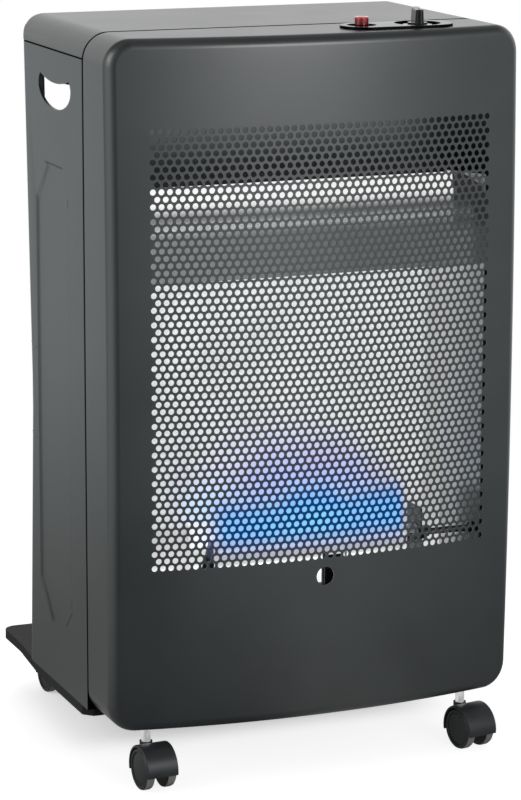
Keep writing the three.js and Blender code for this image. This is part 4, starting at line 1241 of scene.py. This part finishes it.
def castors():
    """Hood, axle bar and wheels are modelled once, and copied to each corner."""
    hood, wheel = castor_hood(), castor_wheel()
    reach = WHEEL_OUTER - 0.0035
    bar = drill(0, -TRAIL, WHEEL_R, 0.003, 2 * reach, "X", 32, "axle_bar")
    soften(bar, 0.0003, 2, 50)
    smooth(bar, 40)
    for corner, (x, y, turn) in CASTORS.items():
        copies = [(copy_of(hood, f"hood_{corner}"), f"castor_hood_{corner}"),
                  (copy_of(bar, f"axle_{corner}"), f"castor_axle_{corner}")]
        for side, half_turn in (("left", pi), ("right", 0)):
            piece = copy_of(wheel, f"wheel_{side}_{corner}")
            piece.rotation_euler = (0, 0, half_turn)
            piece.location = (0, -TRAIL, WHEEL_R)
            copies.append((settle(piece), f"castor_wheel_{side}_{corner}"))
        for piece, node in copies:
            stand(piece, x, y, radians(turn))
            if "axle" in node:
                belongs(piece, node)
                continue
            belongs(piece, node, material=CASTOR_BLACK)
            if "wheel" in node:
                grey_tread(piece, x, y, radians(turn))
        castor_stem(corner, x, y)
    for piece in (hood, wheel, bar):
        bpy.data.objects.remove(piece)


def castor_stem(corner, x, y):
    """Plated pin with a riveted head above the sheet that carries it."""
    head = (TRAY_FLOOR if y > PAN_REAR else PAN_FLOOR) + 0.0003
    foot = COLLAR_TOP - 0.0095
    profile = [(0.0035, foot), (STEM_R, foot + 0.001), (STEM_R, head), (0.0070, head),
               (0.0070, head + 0.0012), (0.0062, head + 0.0020), (0.0042, head + 0.0024)]
    piece = turned(f"stem_{corner}", profile, 40)
    smooth(piece, 32)
    stand(piece, x, y)
    return belongs(piece, f"castor_stem_{corner}", material=STEM_PLATING)


# ------------------------------------------------------------------ flame


def flame():
    """Two wavy curtains over the burner's slots."""
    for number, depth in enumerate(FLAME_DEPTHS, 1):
        bpy.ops.mesh.primitive_grid_add(
            x_subdivisions=80, y_subdivisions=30, size=1,
            location=((FLAME_LEFT + FLAME_RIGHT) / 2, shift(depth), FLAME_MIDDLE), rotation=(pi / 2, 0, 0),
        )
        curtain = named(f"flame_curtain_{number}")
        curtain.scale = (FLAME_RIGHT - FLAME_LEFT + 0.020, FLAME_HEIGHT, 1)
        settle(curtain)
        for vertex in curtain.data.vertices:
            x, y, z = vertex.co
            lean = (z - FLAME_FOOT) / FLAME_HEIGHT
            vertex.co.y += 0.0016 * sin(x * 520 + number * 2) * (0.3 + lean) + 0.002 * sin(z * 60 + x * 90)
        smooth(curtain, 60)
        coat(curtain, FLAME)
        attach(curtain, "cabinet")


# ------------------------------------------------------------------ assembly

belongs(perforated_front(), "front_panel", "guard_screen", material=FRONT_PAINT)
lid()
for side in (-1, 1):
    side_wall(side)
control_plate()
knob()
dial()
button()
castors()
flame()

stood_for = {name for piece in bpy.data.objects for name in piece.get("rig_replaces", [])}
for node in frame["nodes"]:
    if node not in stood_for:
        dressed(node, material=OWN_FINISH.get(node), widen=1.012 if node == "reflector_back" else 1.0)


# ------------------------------------------------------------------ floor, light and camera

bpy.ops.mesh.primitive_plane_add(size=60, location=(0, 0, 0))
floor = named("floor")

# What gloss shows by compass direction, from behind (0) over left, front (0.5) and right.
STUDIO = [
    (0.0, 0.85), (0.06, 0.66), (0.115, 0.42), (0.165, 0.62), (0.22, 1.0), (0.30, 1.0), (0.355, 0.45),
    (0.39, 0.14), (0.455, 0.13), (0.495, 0.52), (0.53, 1.0), (0.565, 0.92), (0.62, 0.5), (0.70, 0.42),
    (0.78, 0.8), (0.9, 1.0), (1.0, 0.85),
]


def studio(tree, x, y):
    turn = tree.node("ShaderNodeMath", {"operation": "ARCTAN2"}, {0: x, 1: -y}) / (2 * pi) + 0.5
    return tree.node("ShaderNodeValToRGB", {"stops": STUDIO}, {0: turn})


def white_floor(tree, vector, x, y, z):
    """White to the camera apart from the object's shadow; darker in gloss close by the object."""
    camera = tree.node("ShaderNodeLightPath", output="Is Camera Ray")
    gloss = tree.node("ShaderNodeLightPath", output="Is Glossy Ray").most(
        tree.node("ShaderNodeLightPath", output="Is Transmission Ray")
    )
    reach = (x * x + y * y).calc("SQRT")
    plain = tree.node("ShaderNodeBsdfDiffuse", inputs={"Color": (0.80, 0.80, 0.80, 1)})
    shaded = tree.node("ShaderNodeBsdfDiffuse", inputs={"Color": (2.4, 2.4, 2.4, 1)})
    white = tree.node("ShaderNodeEmission", inputs={"Color": (1, 1, 1, 1), "Strength": 1.0})
    near = y.ramp(0.0, 0.4, 0.33, 0.55)
    mirrored = studio(tree, x, y) * (near + (1 - near) * reach.ramp(0.30, 2.2))
    cool = tree.blend(reach.ramp(0.4, 1.6), (1.0, 1.0, 0.98), (0.93, 1.0, 1.02))
    seen = tree.node("ShaderNodeEmission", inputs={"Color": cool, "Strength": mirrored})
    under = y.ramp(shift(0.125), shift(0.20)) * reach.fall(0.30, 0.55)
    shade = (under * 0.42 + 0.14) * reach.fall(0.4, 0.9)
    to_camera = tree.node("ShaderNodeMixShader", inputs={0: shade, 1: white, 2: shaded})
    to_rest = tree.node("ShaderNodeMixShader", inputs={0: gloss, 1: plain, 2: seen})
    mixed = tree.node("ShaderNodeMixShader", inputs={0: camera, 1: to_rest, 2: to_camera})
    tree.node("ShaderNodeOutputMaterial", inputs={"Surface": mixed})


coat(floor, finish("white_floor", white_floor))

world = bpy.data.worlds.new("studio")
bpy.context.scene.world = world
sky = Tree(world)
direction = sky.node("ShaderNodeTexCoord", output="Generated")
across, ahead, up = sky.axes(direction)
camera_ray = sky.node("ShaderNodeLightPath", output="Is Camera Ray")
gloss_ray = sky.node("ShaderNodeLightPath", output="Is Glossy Ray").most(
    sky.node("ShaderNodeLightPath", output="Is Transmission Ray")
)
in_gloss = studio(sky, across, ahead) * up.ramp(0.30, 0.75, 1.2, 0.30)
strength = camera_ray + (1 - camera_ray) * (gloss_ray * in_gloss + (1 - gloss_ray) * 0.55)
background = sky.node("ShaderNodeBackground", inputs={"Color": (1, 1, 1, 1), "Strength": strength})
sky.node("ShaderNodeOutputWorld", inputs={"Surface": background})


def soft_lamp(name, place, aim, size, power):
    bpy.ops.object.light_add(type="AREA", location=place)
    lamp = bpy.context.active_object
    lamp.name = name
    lamp.data.shape = "RECTANGLE"
    lamp.data.size, lamp.data.size_y = size
    lamp.data.energy = power
    lamp.rotation_euler = (Vector(aim) - Vector(place)).to_track_quat("-Z", "Y").to_euler()
    return lamp


soft_lamp("front_lamp", (0.75, -2.6, 1.25), (0, -0.2, 0.5), (1.0, 1.0), 16)
soft_lamp("left_lamp", (-2.4, -0.4, 1.5), (0, 0, 0.35), (1.2, 1.2), 10)

# Camera of the photograph, from the cabinet's straight edges: 22 degrees to the left of the
# front and 12.6 degrees above, a long lens from about three metres.
FOCAL_PIXELS = 3121.5
TURN = Vector((1.76639, -0.34026, 0.27757))
world_to_view = Matrix.Rotation(TURN.length, 3, TURN.normalized())
flip = Matrix(((1, 0, 0), (0, -1, 0), (0, 0, -1)))
camera_data = bpy.data.cameras.new("camera")
camera = bpy.data.objects.new("camera", camera_data)
bpy.context.scene.collection.objects.link(camera)
camera_data.sensor_fit = "AUTO"
camera_data.sensor_width = 36.0
camera_data.lens = FOCAL_PIXELS / 800 * 36.0
camera_data.clip_start, camera_data.clip_end = 0.1, 60
place = Vector((-1.1415, -2.8535, 1.0196))
camera.matrix_world = Matrix.Translation(place) @ (world_to_view.transposed() @ flip).to_4x4()
bpy.context.scene.camera = camera

bpy.context.scene.view_settings.view_transform = "Standard"
